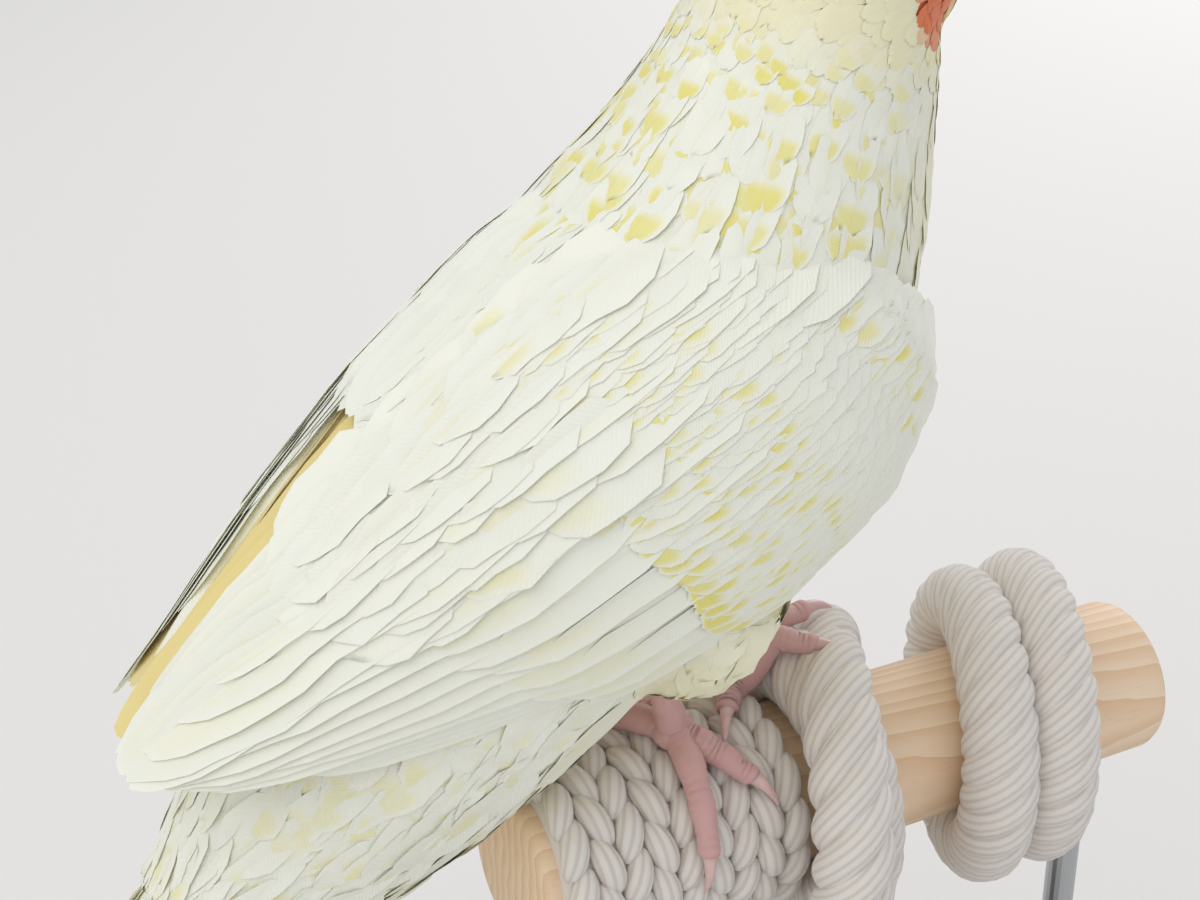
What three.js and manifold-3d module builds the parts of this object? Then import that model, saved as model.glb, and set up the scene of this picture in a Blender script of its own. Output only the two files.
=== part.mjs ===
// A life-size model of a pale pearl cockatiel perched on a cord-bound dowel, held up by a plain display stand.
// Millimetres, +Z up. The bird heads along +X and its left wing is on the +Y side.
// The origin is the middle of the stand's underside.

import * as THREE from "three";
import Module from "manifold-3d";

const wasm = await Module();
wasm.setup();

const { Vector3, CatmullRomCurve3, Matrix4 } = THREE;
const { lerp, clamp } = THREE.MathUtils;
const degree = Math.PI / 180;
const gap = 0.3; // kept between pieces that touch

// The stand and the perch
const base = { length: 150, width: 104, height: 9, corner: 18 };
const perchHeight = 124; // the dowel's axis above the floor
const perchBearing = 4.5 * degree; // from the bird's heading, seen from above
const dowel = { radius: 12.5, from: -38, to: 75, sides: 32 };
const sleeve = { from: -35.5, to: 4, pitch: 4.39, valley: 14.7, crest: 16.9, sides: 20 };
const rope = { radius: 6.2, steps: 22, sides: 8 };
// Each turn: where it crosses the dowel's top, how far it leans along it at the side, and its rise over what
// it crosses there
const ropeTurns = {
  perch_rope_hitch: [
    { station: 11.4, lean: 0, rise: 0 },
    { station: 16, lean: -12, rise: 8 },
  ],
  perch_rope_band: [
    { station: 44.2, lean: -8, rise: 0 },
    { station: 55.8, lean: -8, rise: 0 },
  ],
};
const rod = { radius: 2.6, stations: [-22, 67.5], sides: 20 };

// The torso's centre: where it is over the dowel, and how far over the sleeve's top
const torsoPlace = new Vector3(-31, 3.5, perchHeight + sleeve.crest + 44.5);

// The body's spine from tail root to crown, from the torso's centre: x forward, z up, and the half-sizes there
const bodyStations = [
  { x: -53, z: -63, side: 12, back: 10.5, belly: 9.5 },
  { x: -44.5, z: -56, side: 15.5, back: 15.5, belly: 13 },
  { x: -32, z: -45.5, side: 20, back: 22.5, belly: 17.5 },
  { x: -17.5, z: -31, side: 25, back: 28, belly: 22.5 },
  { x: -4, z: -14, side: 29, back: 29.5, belly: 27 },
  { x: 8, z: 1.5, side: 31.5, back: 29, belly: 29.5 },
  { x: 19, z: 14, side: 31.5, back: 28, belly: 30 },
  { x: 28, z: 25.5, side: 30, back: 27, belly: 27.5 },
  { x: 34, z: 37, side: 26.5, back: 24, belly: 24 },
  { x: 38, z: 48, side: 22.5, back: 20.5, belly: 20.5 },
  { x: 41, z: 58, side: 19.5, back: 18, belly: 18 },
  { x: 43, z: 67, side: 17, back: 16, belly: 16 },
];
const neckCut = 7.7; // spine station where the torso ends and the neck begins

// The head: its middle, which way it looks, and its sections from nape to bill
const head = { x: 46, y: 2, z: 68, turn: 22 * degree, nod: 2 * degree };
const headStations = [
  { f: -19.5, side: 4, up: 4, down: 4, rise: 0.5 },
  { f: -17, side: 10, up: 10, down: 10, rise: 0.5 },
  { f: -12.5, side: 15.2, up: 15, down: 15.5, rise: 0 },
  { f: -4, side: 17.8, up: 17, down: 18, rise: 0 },
  { f: 4, side: 17.2, up: 16, down: 18.5, rise: 0 },
  { f: 10.5, side: 14.4, up: 13.4, down: 17.2, rise: 0 },
  { f: 15, side: 11, up: 10, down: 14.4, rise: 0 },
  { f: 17.6, side: 7.8, up: 7, down: 11, rise: 0 },
  { f: 18.6, side: 5.6, up: 5.2, down: 8.8, rise: 0 },
];
const eye = { f: 8.4, z: 2.4, out: 12.3, radius: 3.5, lid: 0.9 };
const bill = { f: 17.6, z: -6.6, reach: 8, width: 5.2, depth: 4.6, drop: 130 * degree };
const crest = { count: 8, rootFrom: 14, rootTo: -2, shortest: 20, longest: 46, width: 5.2, lean: 34 * degree };

// The folded wings lie on one long shell, measured back from the bend of the wing
const wingAxis = { x: 41, z: 24.5, pitch: 33 * degree };
const wingStations = [
  { u: -6, side: 23, back: 19, belly: 20 },
  { u: 0, side: 30, back: 25.5, belly: 27 },
  { u: 13, side: 34.4, back: 30, belly: 32 },
  { u: 33, side: 35.4, back: 31, belly: 34 },
  { u: 58, side: 32, back: 28, belly: 31 },
  { u: 79, side: 26.5, back: 23.5, belly: 25.5 },
  { u: 100, side: 20, back: 18, belly: 19.5 },
  { u: 121, side: 14, back: 13.5, belly: 14 },
];
const vaneThickness = 0.6;

// The outline of the folded wing on that shell. u is the distance behind the bend, top and bottom are the angles
// of its edges, measured down from the back's midline, and thick is its depth.
const wingOutline = [
  { u: -6, top: 66, bottom: 96, thick: 2 },
  { u: -1, top: 44, bottom: 110, thick: 5 },
  { u: 10, top: 30, bottom: 119, thick: 6 },
  { u: 27, top: 22, bottom: 122, thick: 6 },
  { u: 46, top: 17, bottom: 121, thick: 5.5 },
  { u: 65, top: 14, bottom: 117, thick: 4.5 },
  { u: 82, top: 12, bottom: 110, thick: 3.5 },
  { u: 96, top: 11, bottom: 100, thick: 2.6 },
  { u: 108, top: 13, bottom: 86, thick: 1.8 },
  { u: 116, top: 26, bottom: 66, thick: 1.2 },
];

// The tail: where it leaves the body, which way it points, and its feathers
const tailRoot = { x: -53, z: -63, pitch: 39 * degree, gapBehind: 1 };
const tail = { count: 12, longest: 150, step: 15, width: 11, spacing: 1.9, fan: 1.1 * degree, lift: 0.95 };

// Legs and feet
const thigh = { spread: 17, hip: -12, ahead: 6, wide: 12.5, narrow: 4.4 };
const shank = { radius: 2.3, height: 12.5, back: 5, out: 4 };
const toeRadius = { root: 2.5, tip: 1.7 };
const claw = { length: 6, radius: 1.25 };
// along is the sole's place on the dowel, around its angle from the top towards the viewer's side. Each toe has its
// bearing from the dowel's axis, its length, and how far it climbs onto the rope.
const feet = {
  right: { along: -13, around: 12, toes: { toe_2: [-52, 13], toe_3: [-95, 19], toe_4: [125, 17], hallux: [85, 10] } },
  left: { along: 1, around: -10, toes: { toe_2: [-38, 13, 7.6], toe_3: [8, 15, 7.6], toe_4: [118, 16], hallux: [-125, 7] } },
};

// Colours, as linear-looking sRGB hex from the bird and its perch
const finish = {
  plumage: { color: 0xf1f0d4, roughness: 0.85 },
  flight: { color: 0xf4f3e2, roughness: 0.8 },
  crest: { color: 0xf2e58c, roughness: 0.85 },
  eye: { color: 0x3a0d10, roughness: 0.08 },
  bill: { color: 0xe3c3a8, roughness: 0.5 },
  foot: { color: 0xdf9c98, roughness: 0.65 },
  claw: { color: 0xcfa9a0, roughness: 0.45 },
  cord: { color: 0xe6dccf, roughness: 0.95 },
  wood: { color: 0xd9b184, roughness: 0.6 },
  stand: { color: 0x3c3a38, roughness: 0.5 },
  steel: { color: 0x9a9c9f, roughness: 0.35, metalness: 1 },
};
const materials = Object.fromEntries(
  Object.entries(finish).map(([name, look]) => [name, new THREE.MeshStandardMaterial({ name, ...look })]),
);

// A value of each named key at fraction t of a list of stations, on a smooth curve through them
function along(stations, keys, t) {
  const last = stations.length - 1;
  const place = clamp(t, 0, 1) * last;
  const i = Math.min(Math.floor(place), last - 1);
  const s = place - i;
  const at = (k) => stations[clamp(k, 0, last)];
  return keys.map((key) => {
    const [a, b, c, d] = [at(i - 1)[key], at(i)[key], at(i + 1)[key], at(i + 2)[key]];
    const [m, n] = [(c - a) / 2, (d - b) / 2];
    return b + s * (m + s * (3 * (c - b) - 2 * m - n + s * (m + n - 2 * (c - b))));
  });
}

// A closed solid from rings of points, each ring closed on itself and the two ends capped.
// turned(j) picks the other diagonal for the faces that follow point j of a ring.
function loft(rings, turned = () => false) {
  const n = rings[0].length;
  const points = rings.flat();
  const faces = [];
  for (let i = 0; i < rings.length - 1; i++) {
    for (let j = 0; j < n; j++) {
      const [a, b] = [i * n + j, i * n + ((j + 1) % n)];
      const [c, d] = [a + n, b + n];
      if (turned(j)) faces.push(a, b, c, b, d, c);
      else faces.push(a, b, d, a, d, c);
    }
  }
  for (const [ring, flip] of [[0, true], [rings.length - 1, false]]) {
    const middle = rings[ring].reduce((sum, p) => sum.add(p), new Vector3()).divideScalar(n);
    const centre = points.push(middle) - 1;
    for (let j = 0; j < n; j++) {
      const [a, b] = [ring * n + j, ring * n + ((j + 1) % n)];
      if (flip) faces.push(b, a, centre);
      else faces.push(a, b, centre);
    }
  }
  return solid(points, faces);
}

// A manifold solid from points and faces, turned right side out
function solid(points, faces) {
  let volume = 0;
  for (let i = 0; i < faces.length; i += 3) {
    const [a, b, c] = [points[faces[i]], points[faces[i + 1]], points[faces[i + 2]]];
    volume += a.dot(b.clone().cross(c));
  }
  if (volume < 0) {
    for (let i = 0; i < faces.length; i += 3) [faces[i + 1], faces[i + 2]] = [faces[i + 2], faces[i + 1]];
  }
  const vertProperties = new Float32Array(points.flatMap((p) => [p.x, p.y, p.z]));
  const mesh = new wasm.Mesh({ numProp: 3, vertProperties, triVerts: new Uint32Array(faces) });
  return new wasm.Manifold(mesh);
}

// A closed solid from rings of points that run round in a circle, the last joined to the first
function closedRing(rings) {
  const n = rings[0].length;
  const faces = [];
  for (let i = 0; i < rings.length; i++) {
    const next = (i + 1) % rings.length;
    for (let j = 0; j < n; j++) {
      const [a, b] = [i * n + j, i * n + ((j + 1) % n)];
      const [c, d] = [next * n + j, next * n + ((j + 1) % n)];
      faces.push(a, b, d, a, d, c);
    }
  }
  return solid(rings.flat(), faces);
}

// The largest closed surface of a solid
function largest(shape) {
  return shape.decompose().reduce((best, piece) => (piece.volume() > best.volume() ? piece : best));
}

function fuse(pieces) {
  return largest(pieces.reduce((sum, piece) => sum.add(piece)));
}

function cut(shape, ...tools) {
  return largest(tools.reduce((rest, tool) => rest.subtract(tool), shape));
}

function meshOf(name, shape, material) {
  const made = shape.getMesh();
  const geometry = new THREE.BufferGeometry();
  const positions = [];
  for (let i = 0; i < made.numVert; i++) {
    positions.push(...made.vertProperties.subarray(i * made.numProp, i * made.numProp + 3));
  }
  geometry.setAttribute("position", new THREE.Float32BufferAttribute(positions, 3));
  geometry.setIndex([...made.triVerts]);
  geometry.computeVertexNormals();
  const mesh = new THREE.Mesh(geometry, material);
  mesh.name = name;
  return mesh;
}

// A three.js geometry as a solid, with its seams closed by joining points that coincide
function solidFrom(geometry, matrix = new Matrix4()) {
  const plain = geometry.index ? geometry.toNonIndexed() : geometry;
  const position = plain.getAttribute("position");
  const found = new Map();
  const points = [];
  const faces = [];
  for (let i = 0; i < position.count; i++) {
    const p = new Vector3().fromBufferAttribute(position, i);
    const key = p.toArray().map((x) => Math.round(x * 1e4)).join();
    if (!found.has(key)) found.set(key, points.push(p.applyMatrix4(matrix)) - 1);
    faces.push(found.get(key));
  }
  const kept = [];
  for (let i = 0; i < faces.length; i += 3) {
    const [a, b, c] = faces.slice(i, i + 3);
    if (a !== b && b !== c && a !== c) kept.push(a, b, c);
  }
  return solid(points, kept);
}

// An ellipse of points about a centre, with its own half-sizes above and below
function oval(centre, sideways, up, { side, back, belly }, count) {
  return Array.from({ length: count }, (_, k) => {
    const turn = (2 * Math.PI * k) / count;
    const height = Math.cos(turn) > 0 ? back : belly;
    return centre
      .clone()
      .addScaledVector(up, Math.cos(turn) * height)
      .addScaledVector(sideways, Math.sin(turn) * side);
  });
}

// A round tube or spindle along a path, its radius given by a function of the fraction along it
function tube(path, radius, count = 8, steps = path.length - 1) {
  const curve = new CatmullRomCurve3(path);
  const rings = [];
  let side = new Vector3(0, 1, 0);
  for (let i = 0; i <= steps; i++) {
    const t = i / steps;
    const ahead = curve.getTangent(t);
    const up = ahead.clone().cross(side).normalize();
    side = up.clone().cross(ahead).normalize();
    const r = radius(t);
    rings.push(oval(curve.getPoint(t), side, up, { side: r, back: r, belly: r }, count));
  }
  return loft(rings);
}

// The body

const spine = new CatmullRomCurve3(bodyStations.map(({ x, z }) => new Vector3(x, 0, z)));
const lastStation = bodyStations.length - 1;

function bodyRing(station, grow, count = 24) {
  const t = clamp(station / lastStation, 0, 1);
  const ahead = spine.getTangent(t);
  const up = ahead.clone().cross(new Vector3(0, 1, 0));
  const [side, back, belly] = along(bodyStations, ["side", "back", "belly"], t);
  const sizes = { side: side + grow, back: back + grow, belly: belly + grow };
  return oval(spine.getPoint(t), new Vector3(0, 1, 0), up, sizes, count);
}

function bodyLength(from, to, grow = 0, steps = 12) {
  const rings = Array.from({ length: steps + 1 }, (_, i) => bodyRing(lerp(from, to, i / steps), grow));
  return loft(rings);
}

// The head

const headMatrix = new Matrix4()
  .makeTranslation(head.x, head.y, head.z)
  .multiply(new Matrix4().makeRotationZ(head.turn))
  .multiply(new Matrix4().makeRotationY(head.nod));

function inHead(f, y, z) {
  return new Vector3(f, y, z).applyMatrix4(headMatrix);
}

const headSide = inHead(0, 1, 0).sub(inHead(0, 0, 0));
const headUp = inHead(0, 0, 1).sub(inHead(0, 0, 0));
const headAhead = inHead(1, 0, 0).sub(inHead(0, 0, 0));

function headShape(grow = 0) {
  const steps = 12;
  const rings = Array.from({ length: steps + 1 }, (_, i) => {
    const [f, side, back, belly, rise] = along(headStations, ["f", "side", "up", "down", "rise"], i / steps);
    const push = grow * (2 * (i / steps) - 1);
    const sizes = { side: side + grow, back: back + grow, belly: belly + grow };
    return oval(inHead(f + push, 0, rise), headSide, headUp, sizes, 24);
  });
  return loft(rings);
}

function ball(centre, radius, sides = 16) {
  const geometry = new THREE.SphereGeometry(radius, sides, Math.round(sides * 0.6));
  const lying = new Matrix4().makeTranslation(centre.x, centre.y, centre.z);
  return solidFrom(geometry, lying);
}

function eyePlace(side) {
  return inHead(eye.f, side * eye.out, eye.z);
}

// The bare ring of lid round an eye
function lidRing(side) {
  const outward = headSide.clone().multiplyScalar(side);
  const ring = new THREE.TorusGeometry(eye.radius + 0.35, eye.lid, 6, 18);
  const facing = new Matrix4().makeBasis(headAhead, headUp, outward);
  const spot = eyePlace(side).addScaledVector(outward, 2.4);
  return solidFrom(ring, facing.setPosition(spot));
}

// The hooked upper bill follows an arc from the forehead down to its point
function billUpper(grow = 0) {
  const steps = 8;
  const rings = Array.from({ length: steps + 1 }, (_, i) => {
    const t = i / steps;
    const turn = Math.PI / 2 - t * bill.drop;
    const centre = inHead(bill.f + 0.9 + bill.reach * Math.cos(turn), 0, bill.z + bill.reach * Math.sin(turn));
    const outward = headAhead.clone().multiplyScalar(Math.cos(turn)).addScaledVector(headUp, Math.sin(turn));
    const taper = Math.pow(1 - t, 0.62);
    const sizes = {
      side: 0.35 + grow + bill.width * taper,
      back: 0.35 + grow + bill.depth * taper,
      belly: 0.35 + grow + bill.depth * 0.8 * taper,
    };
    return oval(centre, headSide, outward, sizes, 12);
  });
  return loft(rings);
}

function billLower() {
  const path = [inHead(14.8, 0, -8.4), inHead(18.2, 0, -9.6), inHead(21, 0, -9), inHead(22.6, 0, -7)];
  return tube(path, (t) => 3.2 - 2.2 * t * t, 10, 5);
}

// The soft swelling of the cere over the bill, with the nostrils let into it
function cere(grow = 0) {
  return ball(inHead(bill.f - 0.2, 0, bill.z + bill.reach + 0.6), 4.6 + grow, 14);
}

function nostrils() {
  return [-1, 1].map((side) => ball(inHead(bill.f + 3.1, side * 2.4, bill.z + bill.reach + 3.1), 0.95, 8));
}

// A feather vane: each station gives its left, middle and right points and its outward direction.
// Both faces are split alike, so a thin curved vane never crosses itself.
function vane(stations) {
  const rings = stations.map(({ left, middle, right, up, thick }) => {
    const raise = (p, h) => p.clone().addScaledVector(up, h);
    const half = (thick ?? vaneThickness) / 2;
    return [
      raise(left, half),
      raise(middle, half * 1.3),
      raise(right, half),
      raise(right, -half),
      raise(middle, -half),
      raise(left, -half),
    ];
  });
  return loft(rings, (j) => j === 3 || j === 4);
}

// Half the width of a feather at fraction t: narrow at the quill, full along the vane, rounded at the tip
function vaneWidth(t, width) {
  const opening = Math.min(1, 0.42 + 2.2 * t);
  const rounding = t < 0.72 ? 1 : Math.sqrt(Math.max(0.03, 1 - ((t - 0.72) / 0.285) ** 2));
  return (width / 2) * opening * rounding;
}

// Fractions along a feather, closer together towards its tip
const vaneSteps = [0, 0.3, 0.6, 0.8, 0.92, 1];

// The wings

const wingBack = new Vector3(-Math.cos(wingAxis.pitch), 0, -Math.sin(wingAxis.pitch));
const wingUp = new Vector3(-Math.sin(wingAxis.pitch), 0, Math.cos(wingAxis.pitch));

function wingSizes(u) {
  let i = wingStations.findIndex((station) => station.u > u);
  if (i < 0) i = wingStations.length - 1;
  i = Math.max(1, i);
  const [from, to] = [wingStations[i - 1].u, wingStations[i].u];
  const t = (i - 1 + clamp((u - from) / (to - from), 0, 1)) / (wingStations.length - 1);
  return along(wingStations, ["side", "back", "belly"], t);
}

// A point over the wing shell. angle runs down from the back's midline, on the given side of the bird.
function onWing(side, u, angle, lift) {
  const [wide, back, belly] = wingSizes(u);
  const height = Math.cos(angle) > 0 ? back : belly;
  return new Vector3(wingAxis.x, 0, wingAxis.z)
    .addScaledVector(wingBack, u)
    .addScaledVector(wingUp, Math.cos(angle) * (height + lift))
    .addScaledVector(new Vector3(0, side, 0), Math.sin(angle) * (wide + lift));
}

// The folded wing: one closed form that thins towards its edges and its tip
function wingPlain(side, grow = 0) {
  const [steps, across] = [10, 9];
  const rings = Array.from({ length: steps + 1 }, (_, i) => {
    const t = i / steps;
    const [u, top, bottom, thick] = along(wingOutline, ["u", "top", "bottom", "thick"], t);
    const outer = [];
    const inner = [];
    for (let j = 0; j <= across; j++) {
      const s = j / across;
      const angle = lerp(top - 3 * grow, bottom + 3 * grow, s) * degree;
      const edge = Math.sqrt(Math.max(0.1, 1 - (2 * s - 1) ** 6));
      outer.push(onWing(side, u, angle, thick * (edge - 1) + grow));
      inner.unshift(onWing(side, u, angle, -thick - 0.1 - grow));
    }
    return [...outer, ...inner];
  });
  return loft(rings);
}

function wing(side, tools) {
  return cut(wingPlain(side), ...tools);
}

// The tail

const tailBack = new Vector3(-Math.cos(tailRoot.pitch), 0, -Math.sin(tailRoot.pitch));
const tailUp = new Vector3(-Math.sin(tailRoot.pitch), 0, Math.cos(tailRoot.pitch));

function onTail(back, across, up) {
  return new Vector3(tailRoot.x, across, tailRoot.z).addScaledVector(tailBack, back).addScaledVector(tailUp, up);
}

function tailFeather({ from, length, across, fan, lift, width, droop = 0, thick }) {
  const stations = vaneSteps.map((t) => {
    const back = from + length * t;
    const centre = across + back * Math.tan(fan);
    const half = vaneWidth(t, width);
    const roof = (y) => lift - 0.02 * y * y - droop * t * t;
    return {
      left: onTail(back, centre - half, roof(centre - half)),
      middle: onTail(back, centre, roof(centre)),
      right: onTail(back, centre + half, roof(centre + half)),
      up: tailUp,
      thick,
    };
  });
  return vane(stations);
}

function tailShape(tools) {
  const root = Array.from({ length: 6 }, (_, i) => {
    const t = i / 5;
    const sizes = { side: lerp(11, 8, t), back: lerp(9.4, 1.8, t), belly: lerp(8.6, 5.6, t) };
    return oval(onTail(tailRoot.gapBehind + 20 * t, 0, -0.6 * t), new Vector3(0, 1, 0), tailUp, sizes, 16);
  });
  const half = tail.count / 2;
  const feathers = [];
  for (let i = 0; i < tail.count; i++) {
    const side = i < half ? -1 : 1;
    const rank = side > 0 ? i - half : half - 1 - i;
    const layer = rank === 0 && side < 0 ? 1 : rank === 0 ? 0 : rank + 1;
    feathers.push(
      tailFeather({
        from: 3,
        length: tail.longest - tail.step * rank * (1 - 0.03 * rank),
        across: side * (0.9 + tail.spacing * rank),
        fan: side * tail.fan * rank,
        lift: -layer * tail.lift,
        width: tail.width - 0.3 * rank,
      }),
    );
  }
  for (const [count, lift, reach] of [[5, 2.6, 34], [4, 1.4, 50]]) {
    for (let i = 0; i < count; i++) {
      const place = (2 * i) / (count - 1) - 1;
      const drop = Math.abs(place) * 1.6;
      feathers.push(
        tailFeather({ from: 2, length: reach - 6 * Math.abs(place), across: place * 4.5, fan: place * 3 * degree, lift: lift - drop, width: 9, droop: 1.5 }),
      );
    }
  }
  return cut(fuse([loft(root), ...feathers]), ...tools);
}

// The crest, feather by feather, swept back from the brow with its tips curling up
function crestShape(tools) {
  const feathers = Array.from({ length: crest.count }, (_, i) => {
    const t = i / (crest.count - 1);
    const f = lerp(crest.rootFrom, crest.rootTo, t);
    const sway = (i % 2 ? 1 : -1) * (1.1 + 0.5 * t);
    const length = lerp(crest.longest, crest.shortest, Math.abs(t - 0.38) * 1.5);
    const height = 15 - 0.045 * (f + 2) ** 2;
    const stations = vaneSteps.map((s) => {
      const lean = crest.lean + 0.5 * t + (0.9 - 0.5 * t) * s - 0.75 * s * s;
      const run = length * s;
      const centre = [f + 1 - run * Math.sin(lean), height - 3.5 + run * Math.cos(lean)];
      const half = vaneWidth(s, crest.width) * (1 - 0.35 * s);
      const up = inHead(Math.cos(lean), 0, Math.sin(lean)).sub(inHead(0, 0, 0));
      return {
        left: inHead(centre[0], sway - half, centre[1]),
        middle: inHead(centre[0], sway, centre[1]),
        right: inHead(centre[0], sway + half, centre[1]),
        up,
        thick: lerp(0.9, 0.5, s),
      };
    });
    return vane(stations);
  });
  const bed = tube(
    [inHead(14, 0, 6.5), inHead(8, 0, 10.4), inHead(0, 0, 12), inHead(-6, 0, 11)],
    (t) => 2.2 + 1.2 * Math.sin(Math.PI * t),
    8,
    6,
  );
  return cut(fuse([bed, ...feathers]), ...tools);
}

// The perch, laid along its own axis and turned to its bearing

const alongPerch = new Vector3(Math.cos(perchBearing), Math.sin(perchBearing), 0);
const towardsViewer = new Vector3(Math.sin(perchBearing), -Math.cos(perchBearing), 0);
const perchMatrix = new Matrix4().makeBasis(towardsViewer, alongPerch, new Vector3(0, 0, 1));
perchMatrix.setPosition(0, 0, perchHeight);

// A closed outline of radius and station, spun round the dowel
function spun(outline, sides) {
  const points = outline.map(([radius, station]) => new THREE.Vector2(radius, station));
  return solidFrom(new THREE.LatheGeometry([...points, points[0]], sides), perchMatrix);
}

function dowelShape(grow = 0) {
  const [r, from, to, chamfer] = [dowel.radius + grow, dowel.from - grow, dowel.to + grow, 1.2];
  return spun([[0, from], [r - chamfer, from], [r, from + chamfer], [r, to - chamfer], [r - chamfer, to], [0, to]], dowel.sides);
}

function sleeveShape(grow = 0) {
  const cords = Math.round((sleeve.to - sleeve.from) / sleeve.pitch);
  const outline = [[dowel.radius + gap - grow, sleeve.from - grow]];
  for (let i = 0; i < cords; i++) {
    const start = sleeve.from + i * sleeve.pitch;
    outline.push([sleeve.valley + grow, i ? start : start - grow]);
    outline.push([sleeve.crest + grow, start + 0.5 * sleeve.pitch]);
  }
  const end = sleeve.from + cords * sleeve.pitch + grow;
  outline.push([sleeve.valley + grow, end], [dowel.radius + gap - grow, end]);
  return spun(outline, sleeve.sides);
}

// A plain cylinder over the bound cord's crests, for shaping what rests on it
function boundPerch(grow) {
  const [radius, from, to] = [sleeve.crest + grow, sleeve.from - grow, sleeve.to + grow];
  return spun([[dowel.radius, from], [radius, from], [radius, to], [dowel.radius, to]], sleeve.sides);
}

// A point at a given distance from the dowel's axis. around is its angle from the top towards the viewer.
function roundDowel(station, around, radius) {
  return alongPerch
    .clone()
    .multiplyScalar(station)
    .addScaledVector(towardsViewer, radius * Math.sin(around))
    .add(new Vector3(0, 0, perchHeight + radius * Math.cos(around)));
}

// One turn of thick rope round the dowel. around runs from the dowel's top towards the viewer.
function ropeTurn({ station, lean, rise }, grow) {
  const rings = Array.from({ length: rope.steps }, (_, i) => {
    const around = (2 * Math.PI * i) / rope.steps;
    const side = Math.sin(around);
    const middle = station + lean * side;
    const radius = dowel.radius + gap + rope.radius + rise * Math.max(0, side) ** 0.7;
    return Array.from({ length: rope.sides }, (_, j) => {
      const a = (2 * Math.PI * j) / rope.sides;
      const reach = rope.radius + grow;
      return roundDowel(middle + reach * Math.cos(a), around, radius + reach * Math.sin(a));
    });
  });
  return closedRing(rings);
}

// Two turns of rope, pressed flat where they bear on the sleeve
function ropeShape(turns, grow = 0) {
  const both = fuse(turns.map((turn) => ropeTurn(turn, grow)));
  return cut(both, boundPerch(gap - grow));
}

function rodShape(station) {
  const top = perchHeight - base.height;
  const geometry = new THREE.CylinderGeometry(rod.radius, rod.radius, top, rod.sides);
  const upright = new Matrix4().makeRotationX(Math.PI / 2);
  const place = alongPerch.clone().multiplyScalar(station);
  const spot = new Matrix4().makeTranslation(place.x, place.y, base.height + gap + top / 2);
  return solidFrom(geometry, spot.multiply(upright));
}

function baseShape() {
  const { length, width, height, corner } = base;
  const [x, y] = [length / 2, width / 2];
  const outline = new THREE.Shape();
  outline.moveTo(corner - x, -y).lineTo(x - corner, -y);
  outline.absarc(x - corner, corner - y, corner, -Math.PI / 2, 0);
  outline.absarc(x - corner, y - corner, corner, 0, Math.PI / 2);
  outline.absarc(corner - x, y - corner, corner, Math.PI / 2, Math.PI);
  outline.absarc(corner - x, corner - y, corner, Math.PI, 1.5 * Math.PI);
  const bevel = 1.2;
  const plate = new THREE.ExtrudeGeometry(outline, {
    depth: height - 2 * bevel,
    bevelThickness: bevel,
    bevelSize: bevel,
    bevelOffset: -bevel,
    bevelSegments: 1,
    curveSegments: 5,
  });
  const turned = new Matrix4().makeRotationZ(perchBearing).setPosition(0, 0, bevel);
  return solidFrom(plate, turned);
}

// The legs and feet. Toes lie round the bound dowel, each on its own straight course over the curved surface.

const toWorld = new Matrix4().makeTranslation(torsoPlace.x, torsoPlace.y, torsoPlace.z);
const toBird = toWorld.clone().invert();

function onPerch(station, around, lift) {
  return roundDowel(station, around, sleeve.crest + lift).applyMatrix4(toBird);
}

// The point a given run along a toe's course, and how high it stands over the cord
function toePoint(foot, bearing, run, lift) {
  const course = bearing * degree;
  const radius = sleeve.crest + lift;
  const around = foot.around * degree - (run * Math.sin(course)) / radius;
  return onPerch(foot.along + run * Math.cos(course), around, lift);
}

function toeLift(climb, run) {
  return climb * THREE.MathUtils.smoothstep(run, 1, 8);
}

function toeShape(foot, [bearing, length, climb = 0], grow = 0) {
  const path = Array.from({ length: 7 }, (_, i) => {
    const run = ((length + grow) * i) / 6;
    return toePoint(foot, bearing, run, lerp(2.1, 1.3, i / 6) + toeLift(climb, run));
  });
  const pads = (t) => 0.28 * Math.cos(2 * Math.PI * t * 3);
  return tube(path, (t) => lerp(toeRadius.root, toeRadius.tip, t) + pads(t) + grow, 8, 12);
}

function clawShape(foot, [bearing, length, climb = 0]) {
  const path = Array.from({ length: 5 }, (_, i) => {
    const t = i / 4;
    const run = length - 0.6 + claw.length * t;
    return toePoint(foot, bearing, run, 1.5 + 0.9 * Math.sin(Math.PI * t) - 0.6 * t + toeLift(climb, run));
  });
  const spike = tube(path, (t) => lerp(claw.radius, 0.3, t), 8, 4);
  return cut(spike, toeShape(foot, [bearing, length, climb], gap), ...perchTools());
}

function shankPath(foot, side) {
  const sole = onPerch(foot.along, foot.around * degree, 2.4);
  const ankle = sole.clone().add(new Vector3(-shank.back, side * shank.out, shank.height));
  return [sole, sole.clone().lerp(ankle, 0.5), ankle];
}

function footShape(foot, side, tools) {
  const sole = onPerch(foot.along, foot.around * degree, 2.2);
  const leg = tube(shankPath(foot, side), (t) => shank.radius + 0.5 * (2 * t - 1) ** 2, 10, 4);
  const toes = Object.values(foot.toes).map((toe) => toeShape(foot, toe));
  return cut(fuse([leg, ball(sole, 3.5, 12), ...toes]), ...tools);
}

function thighShape(side, grow = 0) {
  const foot = side > 0 ? feet.left : feet.right;
  const ankle = shankPath(foot, side)[2];
  const hip = new Vector3(ankle.x + thigh.ahead, side * thigh.spread, thigh.hip);
  const knee = hip.clone().lerp(ankle, 0.55).add(new Vector3(1, side * 1.5, 0));
  const swell = (t) => lerp(thigh.wide, thigh.narrow, t * t) + grow;
  return tube([hip, knee, ankle], swell, 14, 7);
}

// Putting the bird together

const bird = new THREE.Group();
bird.name = "cockatiel";
bird.position.copy(torsoPlace);

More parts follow.
